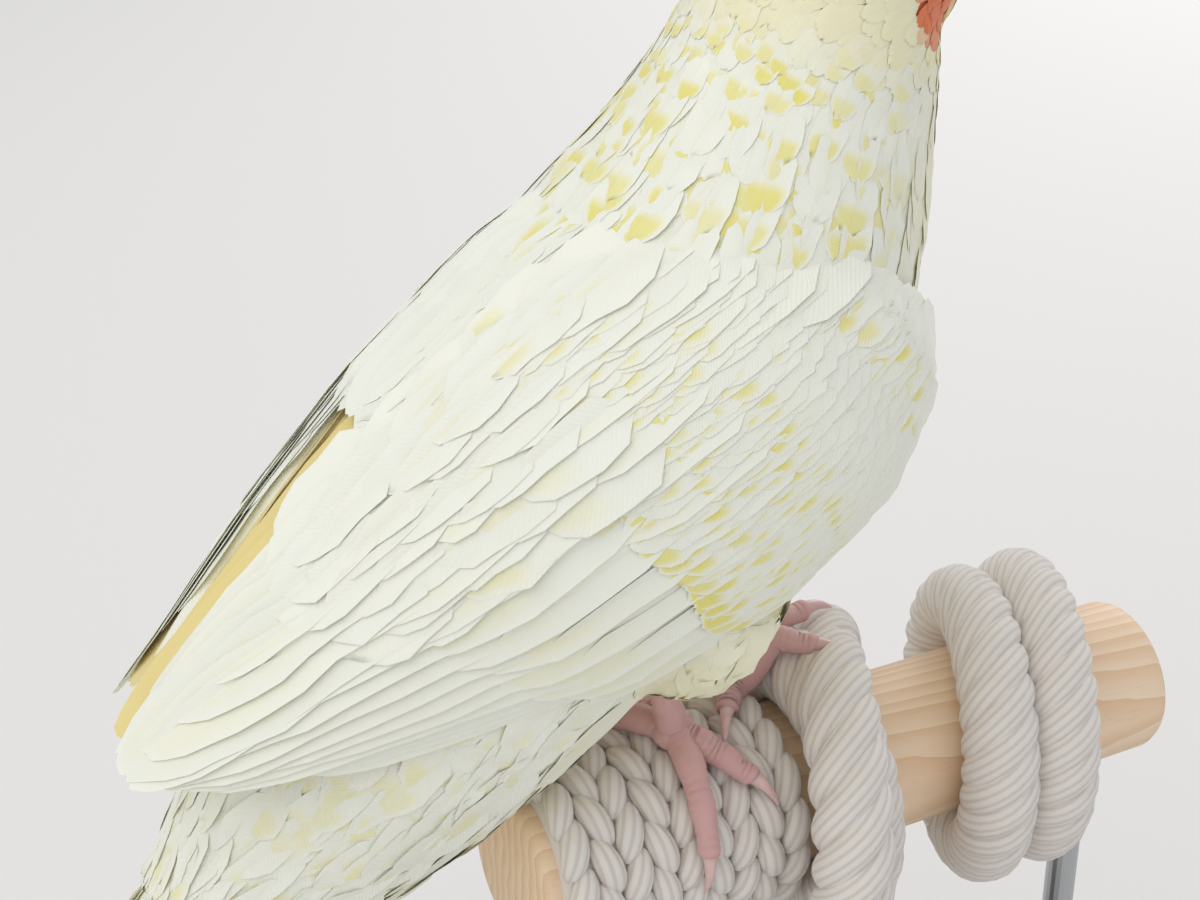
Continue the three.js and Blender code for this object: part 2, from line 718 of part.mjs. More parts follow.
const perchTools = () => [boundPerch(gap), dowelShape(gap), ropeShape(ropeTurns.perch_rope_hitch, gap)].map((shape) =>
  shape.translate(-torsoPlace.x, -torsoPlace.y, -torsoPlace.z),
);
const torsoSolid = cut(bodyLength(0, neckCut), ...perchTools());
const torsoGrown = bodyLength(-0.02, neckCut, gap);
const headSolid = headShape();
const headGrown = fuse([headShape(gap), cere(gap)]);
const neckCutGap = 0.02;
const neckSolid = cut(bodyLength(neckCut + neckCutGap, lastStation, 0, 6), headGrown);
const neckGrown = bodyLength(neckCut, lastStation, gap, 6);

const eyeSolids = { right: ball(eyePlace(-1), eye.radius, 16), left: ball(eyePlace(1), eye.radius, 16) };
const eyeGrown = [-1, 1].map((side) => ball(eyePlace(side), eye.radius + gap, 16));
const upperSolid = cut(billUpper(), headGrown);
const lowerSolid = cut(billLower(), headGrown, billUpper(gap));
const headWhole = cut(fuse([headSolid, cere(), lidRing(-1), lidRing(1)]), ...eyeGrown, ...nostrils());

bird.add(meshOf("torso", torsoSolid, materials.plumage));
bird.add(meshOf("neck", neckSolid, materials.plumage));
bird.add(meshOf("head", headWhole, materials.plumage));
bird.add(meshOf("eye_right", eyeSolids.right, materials.eye));
bird.add(meshOf("eye_left", eyeSolids.left, materials.eye));
bird.add(meshOf("bill_upper", upperSolid, materials.bill));
bird.add(meshOf("bill_lower", lowerSolid, materials.bill));
bird.add(meshOf("crest", crestShape([headGrown]), materials.crest));
bird.add(meshOf("wing_right", wing(-1, [torsoGrown, neckGrown]), materials.flight));
bird.add(meshOf("wing_left", wing(1, [torsoGrown, neckGrown]), materials.flight));
bird.add(meshOf("tail", tailShape([torsoGrown]), materials.flight));

for (const [name, foot] of Object.entries(feet)) {
  const side = name === "left" ? 1 : -1;
  const thighSolid = cut(thighShape(side), torsoGrown, wingPlain(side, gap), ...perchTools());
  bird.add(meshOf(`thigh_${name}`, thighSolid, materials.plumage));
  bird.add(meshOf(`foot_${name}`, footShape(foot, side, [thighShape(side, gap), torsoGrown, ...perchTools()]), materials.foot));
  for (const [toe, course] of Object.entries(foot.toes)) {
    bird.add(meshOf(`claw_${name}_${toe}`, clawShape(foot, course), materials.claw));
  }
}

const stand = new THREE.Group();
stand.name = "perch_and_stand";
stand.add(meshOf("perch_dowel", dowelShape(), materials.wood));
stand.add(meshOf("perch_sleeve", sleeveShape(), materials.cord));
for (const [name, turns] of Object.entries(ropeTurns)) {
  stand.add(meshOf(name, ropeShape(turns), materials.cord));
}
rod.stations.forEach((station, i) => {
  stand.add(meshOf(`stand_rod_${i + 1}`, cut(rodShape(station), dowelShape(gap), boundPerch(gap)), materials.steel));
});
stand.add(meshOf("stand_base", baseShape(), materials.stand));

const model = new THREE.Group();
model.name = "cockatiel_on_perch";
model.add(bird, stand);

export default model;
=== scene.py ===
import itertools
import math

import bmesh
import bpy
import numpy as np
from mathutils import Matrix, Vector
from mathutils.bvhtree import BVHTree


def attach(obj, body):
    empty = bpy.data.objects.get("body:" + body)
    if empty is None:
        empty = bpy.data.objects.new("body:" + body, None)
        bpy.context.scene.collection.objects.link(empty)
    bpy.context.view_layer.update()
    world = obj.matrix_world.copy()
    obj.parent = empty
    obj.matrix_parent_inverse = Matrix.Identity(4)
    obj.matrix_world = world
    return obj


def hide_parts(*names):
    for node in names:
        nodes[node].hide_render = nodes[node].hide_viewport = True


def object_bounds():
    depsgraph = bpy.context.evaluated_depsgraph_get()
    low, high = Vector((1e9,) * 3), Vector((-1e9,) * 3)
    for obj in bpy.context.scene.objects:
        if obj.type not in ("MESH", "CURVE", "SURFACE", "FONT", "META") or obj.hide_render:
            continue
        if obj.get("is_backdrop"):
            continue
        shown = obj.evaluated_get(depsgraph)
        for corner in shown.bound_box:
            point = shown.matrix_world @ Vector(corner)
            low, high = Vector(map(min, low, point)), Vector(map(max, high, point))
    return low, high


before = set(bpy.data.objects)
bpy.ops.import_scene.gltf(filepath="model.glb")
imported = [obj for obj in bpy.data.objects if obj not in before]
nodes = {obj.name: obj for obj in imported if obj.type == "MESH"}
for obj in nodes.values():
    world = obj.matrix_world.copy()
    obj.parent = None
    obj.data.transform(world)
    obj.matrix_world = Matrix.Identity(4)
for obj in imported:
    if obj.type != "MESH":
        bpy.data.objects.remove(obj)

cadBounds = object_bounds()
mm = 0.001
rad = math.pi / 180

# The bird's places and sizes in millimetres, in the frame's own axes
perch = {"height": 124.0, "bearing": 4.5, "crest": 16.9, "dowelRadius": 12.5, "from": -38.0, "to": 75.0}
torsoPlace = np.array([-31.0, 3.5, perch["height"] + perch["crest"] + 44.5])

spineStations = np.array([  # x and z from the torso's centre, from the tail's root to the head
    [-53, -63], [-44.5, -56], [-32, -45.5], [-17.5, -31], [-4, -14], [8, 1.5],
    [19, 14], [28, 25.5], [34, 37], [38, 48], [41, 58], [43, 67],
], float)
headPlace = {"at": (46, 2, 68), "turn": 22, "nod": 2}
wingPlace = {"x": 41, "z": 24.5, "pitch": 33}
wingStations = np.array([  # distance behind the bend, side, back, belly
    [-6, 23, 19, 20], [0, 30, 25.5, 27], [13, 34.4, 30, 32], [33, 35.4, 31, 34],
    [58, 32, 28, 31], [79, 26.5, 23.5, 25.5], [100, 20, 18, 19.5], [121, 14, 13.5, 14],
], float)
tailPlace = {"x": -53, "z": -63, "pitch": 39}
eyePlace = {"f": 8.4, "out": 12.3, "z": 2.4, "radius": 3.5}
billPlace = {"f": 17.6, "z": -6.6, "reach": 8, "width": 5.2, "depth": 4.6, "drop": 130,
             "lower": [(14.8, -8.4), (18.2, -9.6), (21, -9), (22.6, -7)]}


# Small helpers

def unit(v):
    return v / np.maximum(np.linalg.norm(v, axis=-1, keepdims=True), 1e-9)


def ease(x, low, high):
    t = np.clip((x - low) / (high - low), 0, 1)
    return t * t * (3 - 2 * t)


def turnZ(angle):
    c, s = math.cos(angle), math.sin(angle)
    return np.array([[c, -s, 0], [s, c, 0], [0, 0, 1]])


def turnY(angle):
    c, s = math.cos(angle), math.sin(angle)
    return np.array([[c, 0, s], [0, 1, 0], [-s, 0, c]])


def throughPoints(points, t):
    last = len(points) - 1
    i = np.minimum(t.astype(int), last - 1)
    s = (t - i)[:, None]
    a, b, c, d = (points[np.clip(i + k, 0, last)] for k in (-1, 0, 1, 2))
    m, n = (c - a) / 2, (d - b) / 2
    return b + s * (m + s * (3 * (c - b) - 2 * m - n + s * (m + n - 2 * (c - b))))


def ringFaces(count, n, joined=False):
    rows = range(count if joined else count - 1)
    faces = [(i * n + j, i * n + (j + 1) % n, (i + 1) % count * n + (j + 1) % n, (i + 1) % count * n + j)
             for i in rows for j in range(n)]
    if not joined:
        faces += [tuple(range(n))[::-1], tuple((count - 1) * n + j for j in range(n))]
    return faces


def facedOut(points, faces):
    fans = [(face[0], face[k], face[k + 1]) for face in faces for k in range(1, len(face) - 1)]
    corners = points[np.array(fans)] - points.mean(0)
    volume = (corners[:, 0] * np.cross(corners[:, 1], corners[:, 2])).sum()
    return faces if volume > 0 else [face[::-1] for face in faces]


def linked(name, data):
    made = bpy.data.objects.new(name, data)
    bpy.context.scene.collection.objects.link(made)
    return made


def vectorsOf(items, field):
    values = np.zeros(len(items) * 3)
    items.foreach_get(field, values)
    return values.reshape(-1, 3)


def newPiece(name, points, faces, material, replaces=(), uv=None, data=None):
    mesh = bpy.data.meshes.new(name)
    mesh.from_pydata((np.asarray(points) * mm).tolist(), [], faces)
    mesh.polygons.foreach_set("use_smooth", [True] * len(mesh.polygons))
    loops = np.zeros(len(mesh.loops), int)
    mesh.loops.foreach_get("vertex_index", loops)
    if uv is not None:
        layer = mesh.uv_layers.new(name="OFBake")
        layer.data.foreach_set("uv", np.asarray(uv, float)[loops].ravel())
    for key, values in (data or {}).items():
        values = np.asarray(values, float)
        kind = "FLOAT" if values.ndim == 1 else "FLOAT_VECTOR"
        field = "value" if values.ndim == 1 else "vector"
        mesh.attributes.new(key, kind, "POINT").data.foreach_set(field, values.ravel())
    mesh.materials.append(material)
    mesh.validate()
    mesh.update()
    piece = linked(name, mesh)
    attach(piece, "root")
    if replaces:
        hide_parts(*replaces)
    return piece


# A shader's socket, so that materials read as sums

class Value:
    def __init__(self, tree, socket):
        self.tree = tree
        self.socket = socket

    def math(self, operation, *others):
        node = self.tree.nodes.new("ShaderNodeMath")
        node.operation = operation
        for i, term in enumerate((self,) + others):
            plug(self.tree, node.inputs[i], term)
        return Value(self.tree, node.outputs[0])

    def __add__(self, other):
        return self.math("ADD", other)

    __radd__ = __add__

    def __mul__(self, other):
        return self.math("MULTIPLY", other)

    __rmul__ = __mul__

    def __sub__(self, other):
        return self.math("SUBTRACT", other)

    def __rsub__(self, other):
        return (self * -1) + other

    def clamp(self, low, high):
        node = self.tree.nodes.new("ShaderNodeMapRange")
        node.interpolation_type = "SMOOTHSTEP"
        plug(self.tree, node.inputs[0], self)
        node.inputs[1].default_value = low
        node.inputs[2].default_value = high
        return Value(self.tree, node.outputs[0])


def plug(tree, target, source):
    if isinstance(source, Value):
        tree.links.new(source.socket, target)
    elif isinstance(source, tuple) and len(source) == 3 and len(getattr(target, "default_value", ())) == 4:
        target.default_value = (*source, 1)
    else:
        target.default_value = source


class Finish:
    def __init__(self, name):
        self.material = bpy.data.materials.new(name)
        self.material.use_nodes = True
        self.tree = self.material.node_tree
        self.shader = self.tree.nodes["Principled BSDF"]

    def node(self, kind, settings=None, output=0, **links):
        made = self.tree.nodes.new(kind)
        for key, value in (settings or {}).items():
            setattr(made, key, value)
        for key, value in links.items():
            plug(self.tree, made.inputs[key.replace("_", " ")], value)
        return Value(self.tree, made.outputs[output])

    def attribute(self, name, output="Fac"):
        return self.node("ShaderNodeAttribute", {"attribute_name": name}, output)

    def mix(self, factor, a, b):
        node = self.tree.nodes.new("ShaderNodeMix")
        node.data_type = "RGBA"
        node.clamp_factor = True
        plug(self.tree, node.inputs[0], factor)
        plug(self.tree, node.inputs[6], a)
        plug(self.tree, node.inputs[7], b)
        return Value(self.tree, node.outputs[2])

    def noise(self, scale, detail=3, where=None):
        links = {"Scale": scale, "Detail": detail}
        if where is not None:
            links["Vector"] = where
        return self.node("ShaderNodeTexNoise", None, 0, **links)

    def stretched(self, scale, turn=0.0):
        place = self.node("ShaderNodeTexCoord", None, "Object")
        return self.node("ShaderNodeMapping", None, 0, Vector=place, Rotation=(0, 0, turn), Scale=scale)

    def split(self, vector, axis):
        return self.node("ShaderNodeSeparateXYZ", None, axis, Vector=vector)

    def bump(self, height, strength, distance):
        normal = self.node("ShaderNodeBump", None, 0, Height=height, Strength=strength, Distance=distance)
        self.set(Normal=normal)

    def set(self, **values):
        for key, value in values.items():
            plug(self.tree, self.shader.inputs[key.replace("_", " ")], value)


def shade(red, green, blue):
    parts = (red / 255, green / 255, blue / 255)
    return tuple(((c + 0.055) / 1.055) ** 2.4 if c > 0.04 else c / 12.92 for c in parts)


plumageTones = {
    "white": shade(249, 249, 232),
    "cool": shade(242, 244, 236),
    "lemon": shade(242, 232, 126),
    "golden": shade(236, 210, 104),
    "face": shade(244, 228, 118),
    "orange": shade(232, 112, 48),
}


def plumageMaterial(name, barbs=1.0):
    look = Finish(name)
    vane = look.attribute("vane", "Vector")
    across, along, chance = (look.split(vane, axis) for axis in range(3))
    marks = look.attribute("marks", "Vector")
    pearl, gold, orange = (look.split(marks, axis) for axis in range(3))
    face = look.attribute("face")
    edge = across.math("ABSOLUTE")
    crescent = along.clamp(0.5, 0.72) * (1 - along.clamp(0.94, 1.0)) * (1 - edge.clamp(0.62, 1.0))
    base = look.mix(chance * 0.3, plumageTones["white"], plumageTones["cool"])
    color = look.mix(pearl * crescent, base, plumageTones["lemon"])
    color = look.mix(face, color, plumageTones["face"])
    quill = (1 - edge.clamp(0.03, 0.09)) * 0.12
    color = look.mix(quill, color, plumageTones["golden"])
    color = look.mix(gold, color, plumageTones["golden"])
    color = look.mix(orange, color, plumageTones["orange"])
    look.set(Base_Color=color, Roughness=0.62, Sheen_Weight=0.25, Sheen_Roughness=0.5)
    look.set(Subsurface_Weight=0.06, Subsurface_Radius=(1.0, 0.9, 0.7), Subsurface_Scale=0.002)
    barbLines = (along * 150 * barbs - edge * 46).math("SINE")
    look.bump(barbLines, 0.16 / barbs, 0.0001)
    return look.material


def hornMaterial(name, tint, tip):
    look = Finish(name)
    streaks = look.noise(1.0, 4, look.stretched((260, 900, 260)))
    color = look.mix(streaks, tint, tip)
    look.set(Base_Color=color, Roughness=streaks * 0.2 + 0.25)
    look.set(Subsurface_Weight=0.15, Subsurface_Scale=0.002)
    look.bump(streaks, 0.15, 0.0002)
    return look.material


def skinMaterial(name, tint, scaleTint, size):
    look = Finish(name)
    cells = look.node("ShaderNodeTexVoronoi", {"feature": "DISTANCE_TO_EDGE"}, "Distance", Scale=size)
    edge = cells.clamp(0.0, 0.12)
    blotch = look.noise(420, 3)
    color = look.mix(edge, scaleTint, tint)
    color = look.mix(blotch * 0.5, color, scaleTint)
    look.set(Base_Color=color, Roughness=0.5)
    look.set(Subsurface_Weight=0.25, Subsurface_Radius=(1.0, 0.35, 0.25), Subsurface_Scale=0.0015)
    look.bump(edge, 0.4, 0.0002)
    return look.material


# The bird's own coordinates

spineFine = np.linspace(0, len(spineStations) - 1, 221)
spineCentre = throughPoints(spineStations, spineFine)[:, [0, 0, 1]] * np.array([1.0, 0, 1])
spineAhead = unit(np.gradient(spineCentre, axis=0))
spineUp = np.cross(spineAhead, [0, 1.0, 0])


def bodyCoordinates(points):
    local = points - torsoPlace
    flat = local.copy()
    flat[:, 1] = 0
    nearest = np.array([np.argmin(((spineCentre - p) ** 2).sum(1)) for p in flat])
    offset = local - spineCentre[nearest]
    angle = np.arctan2(np.abs(offset[:, 1]), (offset * spineUp[nearest]).sum(1)) / rad
    return spineFine[nearest], angle, nearest


headTurn = turnZ(headPlace["turn"] * rad) @ turnY(headPlace["nod"] * rad)
headCentre = torsoPlace + np.array(headPlace["at"], float)


def inHead(f, y, z):
    return headCentre + np.stack(np.broadcast_arrays(f, y, z), -1).astype(float) @ headTurn.T


def headCoordinates(points):
    return (points - headCentre) @ headTurn


def slopedAxes(place):
    c, s = math.cos(place["pitch"] * rad), math.sin(place["pitch"] * rad)
    return torsoPlace + np.array([place["x"], 0, place["z"]]), np.array([-c, 0, -s]), np.array([-s, 0, c])


wingOrigin, wingBack, wingUp = slopedAxes(wingPlace)
tailOrigin, tailBack, tailUp = slopedAxes(tailPlace)


def onWing(side, u, angle, lift):
    u, angle, lift = np.broadcast_arrays(u, angle, lift)
    wide, back, belly = (np.interp(u, wingStations[:, 0], wingStations[:, k]) for k in (1, 2, 3))
    a = angle * rad
    height = np.where(np.cos(a) > 0, back, belly)
    return (wingOrigin + u[..., None] * wingBack
            + (np.cos(a) * (height + lift))[..., None] * wingUp
            + (np.sin(a) * (wide + lift))[..., None] * np.array([0, side, 0]))


def wingOutward(side, u, angle):
    across = onWing(side, u, angle + 1, 0) - onWing(side, u, angle - 1, 0)
    backward = onWing(side, u + 1, angle, 0) - onWing(side, u - 1, angle, 0)
    return unit(np.cross(across, backward) * side)


# Feathers. Every vane is a grid of points from quill to tip, either one sheet or a thin closed one.

def vaneGrid(count, steps, columns, shut):
    corners = [i * columns + j for i in range(steps - 1) for j in range(columns - 1)]
    faces = [(a, a + 1, a + columns + 1, a + columns) for a in corners]
    if shut:
        half = steps * columns
        faces += [tuple(half + k for k in reversed(face)) for face in faces]
        rim = list(range(columns))
        rim += [i * columns + columns - 1 for i in range(1, steps)]
        rim += [(steps - 1) * columns + j for j in range(columns - 2, -1, -1)]
        rim += [i * columns for i in range(steps - 2, 0, -1)]
        for a, b in zip(rim, rim[1:] + rim[:1]):
            faces.append((b, a, a + half, b + half))
    size = steps * columns * (2 if shut else 1)
    return [tuple(k * size + p for p in face) for k in range(count) for face in faces]


def fromQuill(steps):
    return 1 - (1 - np.linspace(0, 1, steps)) ** 1.5


def featherOutline(s, blunt):
    opening = np.minimum(1, 0.35 + 2.6 * s)
    start = 0.62 if blunt else 0.4
    rounding = np.sqrt(np.clip(1 - ((s - start) / (1.02 - start)) ** 2, 0.02, 1))
    return opening * np.where(s < start, 1, rounding)


def buildVanes(name, centre, side, up, width, chance, marks, face, root, material, slot,
               replaces=(), columns=5, shut=0.0, blunt=True, camber=0.1, shaft=0.0, notch=0.05, seed=1):
    rng = np.random.default_rng(seed)
    count, steps = centre.shape[:2]
    s = fromQuill(steps)
    a = np.linspace(-1, 1, columns)
    half = featherOutline(s, blunt)[None] * width[:, None] / 2
    across = half[..., None] * a * (1 + 0.04 * rng.standard_normal((count, steps, 1)))
    bow = (1 - a ** 2) * camber * half[..., None] + shaft * np.exp(-(a / 0.12) ** 2) * (1 - s[:, None] ** 2)
    points = centre[:, :, None] + side[:, :, None] * across[..., None] + up[:, :, None] * bow[..., None]
    course = np.gradient(centre, axis=1)
    length = np.linalg.norm(course, axis=-1).sum(1)
    ragged = rng.uniform(0, notch, (count, 1, columns)) * length[:, None, None] * (s ** 3)[None, :, None]
    points -= unit(course)[:, :, None] * ragged[..., None]
    vane = np.stack(np.broadcast_arrays(a[None, None], s[None, :, None], chance[:, None, None]), -1)
    patch = root[:, None, None] + 0.003 * np.stack([0.5 * vane[..., 0], vane[..., 1] - 0.5], -1)
    layers = [points, points - up[:, :, None] * shut] if shut else [points]

    def spread(values, size):
        grid = np.broadcast_to(values, points.shape[:3] + (size,))
        return np.stack([grid] * len(layers), 1).reshape(-1, size)

    marks, face = spread(marks[:, None, None], 3), spread(face[:, None, None, None], 1)
    data = {"vane": spread(vane, 3), "marks": marks, "face": face.ravel()}
    faces = vaneGrid(count, steps, columns, bool(shut))
    if (np.cross(side, course) * up).sum() < 0:
        faces = [corners[::-1] for corners in faces]
    uv = np.clip(spread(patch, 2), 0.001, 0.999)
    allPoints = np.stack(layers, 1).reshape(-1, 3)
    piece = newPiece(name, allPoints, faces, material, replaces, uv=uv, data=data)
    if shut:
        sharpenRims(piece.data, steps, columns)


def sharpenRims(mesh, steps, columns):
    ends = np.zeros(len(mesh.edges) * 2, int)
    mesh.edges.foreach_get("vertices", ends)
    half = steps * columns
    spot = ends.reshape(-1, 2) % (2 * half)
    row, column = spot % half // columns, spot % half % columns
    onRim = (row == 0) | (row == steps - 1) | (column == 0) | (column == columns - 1)
    sharp = onRim.all(1) & (spot[:, 0] // half == spot[:, 1] // half)
    mesh.attributes.new("sharp_edge", "BOOLEAN", "EDGE").data.foreach_set("value", sharp)


# Materials
feathered = plumageMaterial("soft plumage")
longFeathered = plumageMaterial("flight feathers", 3.2)
print("materials ready")


# Markings, as pearl, golden and orange amounts and the yellow of the face, at points of the body
cheek = {"f": -1.0, "z": -5.5, "radius": 6.2}


def bodyMarks(points):
    t, angle, _ = bodyCoordinates(points)
    head = headCoordinates(points)
    headness = ease(t, 9.2, 10.2)
    pearl = ease(t, 4.6, 5.6) * (1 - ease(t, 9.4, 10.2)) * (1 - ease(angle, 80, 125))
    rumpPearl = 0.35 * (1 - ease(t, 2.5, 4)) + 0.12
    pearl = np.maximum(pearl, rumpPearl * (1 - headness))
    gold = 0.8 * ease(t, 2.2, 3.2) * (1 - ease(t, 4.2, 5.4)) * (1 - ease(angle, 26, 48))
    gap = np.hypot(head[:, 0] - cheek["f"], head[:, 2] - cheek["z"])
    orange = (1 - ease(gap, cheek["radius"] * 0.7, cheek["radius"] * 1.15)) * ease(np.abs(head[:, 1]), 7, 10)
    face = headness * (0.35 + 0.6 * ease(head[:, 0], -8, 6))
    face = np.maximum(face, 0.3 * ease(angle, 100, 140) * (1 - headness))
    return np.stack([pearl, gold, orange * headness], 1), face


def bodyUnwrap(points):
    t, angle, _ = bodyCoordinates(points)
    side = np.sign(points[:, 1] - torsoPlace[1] + 1e-6)
    return np.stack([0.5 + side * angle / 380, 0.04 + 0.92 * t / (len(spineStations) - 1)], 1)


# The skin: one seamless surface under the feathers of body, neck, head and thighs
skin = {"nodes": ["torso", "neck", "head", "thigh_left", "thigh_right"], "voxel": 1.0, "swell": 0.45,
        "depth": 1.3}


def raiseBrows(points):
    local = headCoordinates(points)
    gap = np.hypot(local[:, 0] - eyePlace["f"], local[:, 2] - eyePlace["z"])
    reach = np.abs(local[:, 1])
    top = eyePlace["out"] + 1.4 - 0.2 * np.maximum(0, gap - 4)
    rise = np.clip(top - reach, 0, 2.6) * (1 - ease(gap, 4, 9.5))
    rise = np.where(gap < 4.8, np.minimum(rise, 0) - np.maximum(0, reach - eyePlace["out"] - 1.7), rise)
    local[:, 1] = np.where(reach > 7, np.sign(local[:, 1]) * (reach + rise), local[:, 1])
    return inHead(*local.T)


def makeSkin():
    shell = bmesh.new()
    for name in skin["nodes"]:
        part = nodes[name].data.copy()
        whole = bmesh.new()
        whole.from_mesh(part)
        bmesh.ops.remove_doubles(whole, verts=whole.verts, dist=1e-6)
        whole.normal_update()
        for vertex in whole.verts:
            vertex.co += vertex.normal * skin["swell"] * mm
        whole.to_mesh(part)
        whole.free()
        shell.from_mesh(part)
    mesh = bpy.data.meshes.new("skinShape")
    shell.to_mesh(mesh)
    shell.free()
    body = linked("skinShape", mesh)
    remesh = body.modifiers.new("remesh", "REMESH")
    remesh.mode = "VOXEL"
    remesh.voxel_size = skin["voxel"] * mm
    relax = body.modifiers.new("relax", "SMOOTH")
    relax.factor = 0.6
    relax.iterations = 6
    made = bpy.data.meshes.new_from_object(body.evaluated_get(bpy.context.evaluated_depsgraph_get()))
    bpy.data.objects.remove(body)
    points = vectorsOf(made.vertices, "co") / mm
    points = raiseBrows(points - vectorsOf(made.vertices, "normal") * (skin["depth"] + skin["swell"]))
    faces = [tuple(face.vertices) for face in made.polygons]
    bpy.data.meshes.remove(made)
    marks, face = bodyMarks(points)
    vane = np.tile([0.0, 0.66, 0.5], (len(points), 1))
    newPiece("skin", points, faces, feathered, skin["nodes"], uv=bodyUnwrap(points),
             data={"vane": vane, "marks": marks, "face": face})
    return points, faces


skinPoints, skinFaces = makeSkin()
skinTree = BVHTree.FromPolygons(skinPoints.tolist(), skinFaces)
print("skin of", len(skinFaces), "faces")


# Body feathers, spread evenly over the skin and lying along the flow from bill to tail
coat = {"seed": 7, "steps": 7, "rise": 0.34, "camber": 0.05, "pieceSize": 2500, "trial": 0.55, "cell": 3,
        "eyeGap": 4.4, "billEdge": 18.5}
coatZones = {  # spine position: spacing, length
    "place": [0, 2, 5, 7.5, 9, 10, 11], "spacing": [2.7, 2.9, 2.9, 2.5, 2.0, 1.5, 1.35],
    "length": [14, 14, 13.5, 12, 9, 5.6, 4.6],
}


def onThigh(points):
    share = np.zeros(len(points))
    for name in ("thigh_left", "thigh_right"):
        corners = vectorsOf(nodes[name].data.vertices, "co") / mm
        low, high = corners.min(0) - 1.5, corners.max(0) + 1.5
        inside = ((points > low) & (points < high)).all(1)
        share = np.maximum(share, inside * (1 - ease(points[:, 2], high[2] - 8, high[2] - 2)))
    return share


def flowAt(points, normals, nearest, t):
    thigh = onThigh(points)[:, None]
    bodyFlow = -spineAhead[nearest] * (1 - thigh) + np.array([-0.25, 0, -1.0]) * thigh
    headFlow = unit(points - inHead(18, 0, -2))
    amount = ease(t, 9.0, 10.3)[:, None]
    flow = headFlow * amount + bodyFlow * (1 - amount)
    flow -= normals * (flow * normals).sum(1, keepdims=True)
    return unit(flow)


def crowded(spots, cells, key, p, gap):
    for step in itertools.product((-1, 0, 1), repeat=3):
        near = cells.get(tuple(k + d for k, d in zip(key, step)), ())
        if any(((spots[k] - p) ** 2).sum() < gap * gap for k in near):
            return True
    return False


def scatter(points, faces, spacingAt, rng):
    halves = ((0, 1, 2), (0, 1, 2, 0, 2, 3))
    triangles = np.array([face[k] for face in faces for k in halves[len(face) - 3]]).reshape(-1, 3)
    corner = points[triangles]
    cross = np.cross(corner[:, 1] - corner[:, 0], corner[:, 2] - corner[:, 0])
    area = np.linalg.norm(cross, axis=1) / 2
    total = int(area.sum() / coat["trial"])
    pick = rng.choice(len(area), total, p=area / area.sum())
    r = np.sqrt(rng.random(total))
    q = rng.random(total)
    weights = np.stack([1 - r, r * (1 - q), r * q], 1)
    spots = (corner[pick] * weights[..., None]).sum(1)
    cells = {}
    kept = []
    for i, (p, gap) in enumerate(zip(spots, spacingAt(spots))):
        key = tuple((p // coat["cell"]).astype(int))
        if not crowded(spots, cells, key, p, gap):
            cells.setdefault(key, []).append(i)
            kept.append(i)
    return spots[kept], unit(cross)[pick][kept]


def coatCourses(roots, normals, flow, length, rise):
    s = fromQuill(coat["steps"])
    strides = np.diff(s, append=1)
    centre = np.zeros((len(roots), coat["steps"], 3))
    ups = np.zeros_like(centre)
    sides = np.zeros_like(centre)
    keep = np.ones(len(roots), bool)
    for k, root in enumerate(roots):
        place, ahead = root.copy(), flow[k]
        for i, stride in enumerate(strides):
            spot, normal, _, _ = skinTree.find_nearest(place.tolist())
            spot, normal = np.array(spot), np.array(normal)
            if normal @ normals[k] < -0.2:
                keep[k] = False
                break
            ahead = unit(ahead - normal * (ahead @ normal))
            height = 0.15 + rise[k] * (0.15 + 0.85 * s[i]) + 0.07 * math.sin(k * 2.4)
            centre[k, i] = spot + normal * height
            ups[k, i] = normal
            sides[k, i] = np.cross(normal, ahead)
            place = spot + ahead * length[k] * stride
    return centre, sides, ups, keep


def clearOfFace(centre, t):
    eyes = [inHead(eyePlace["f"], side * eyePlace["out"], eyePlace["z"]) for side in (-1, 1)]
    toEye = np.min([np.linalg.norm(centre - eye, axis=-1).min(1) for eye in eyes], 0)
    front = headCoordinates(centre)[..., 0].max(1)
    return (t <= 9.5) | ((toEye >= coat["eyeGap"]) & (front <= coat["billEdge"]))


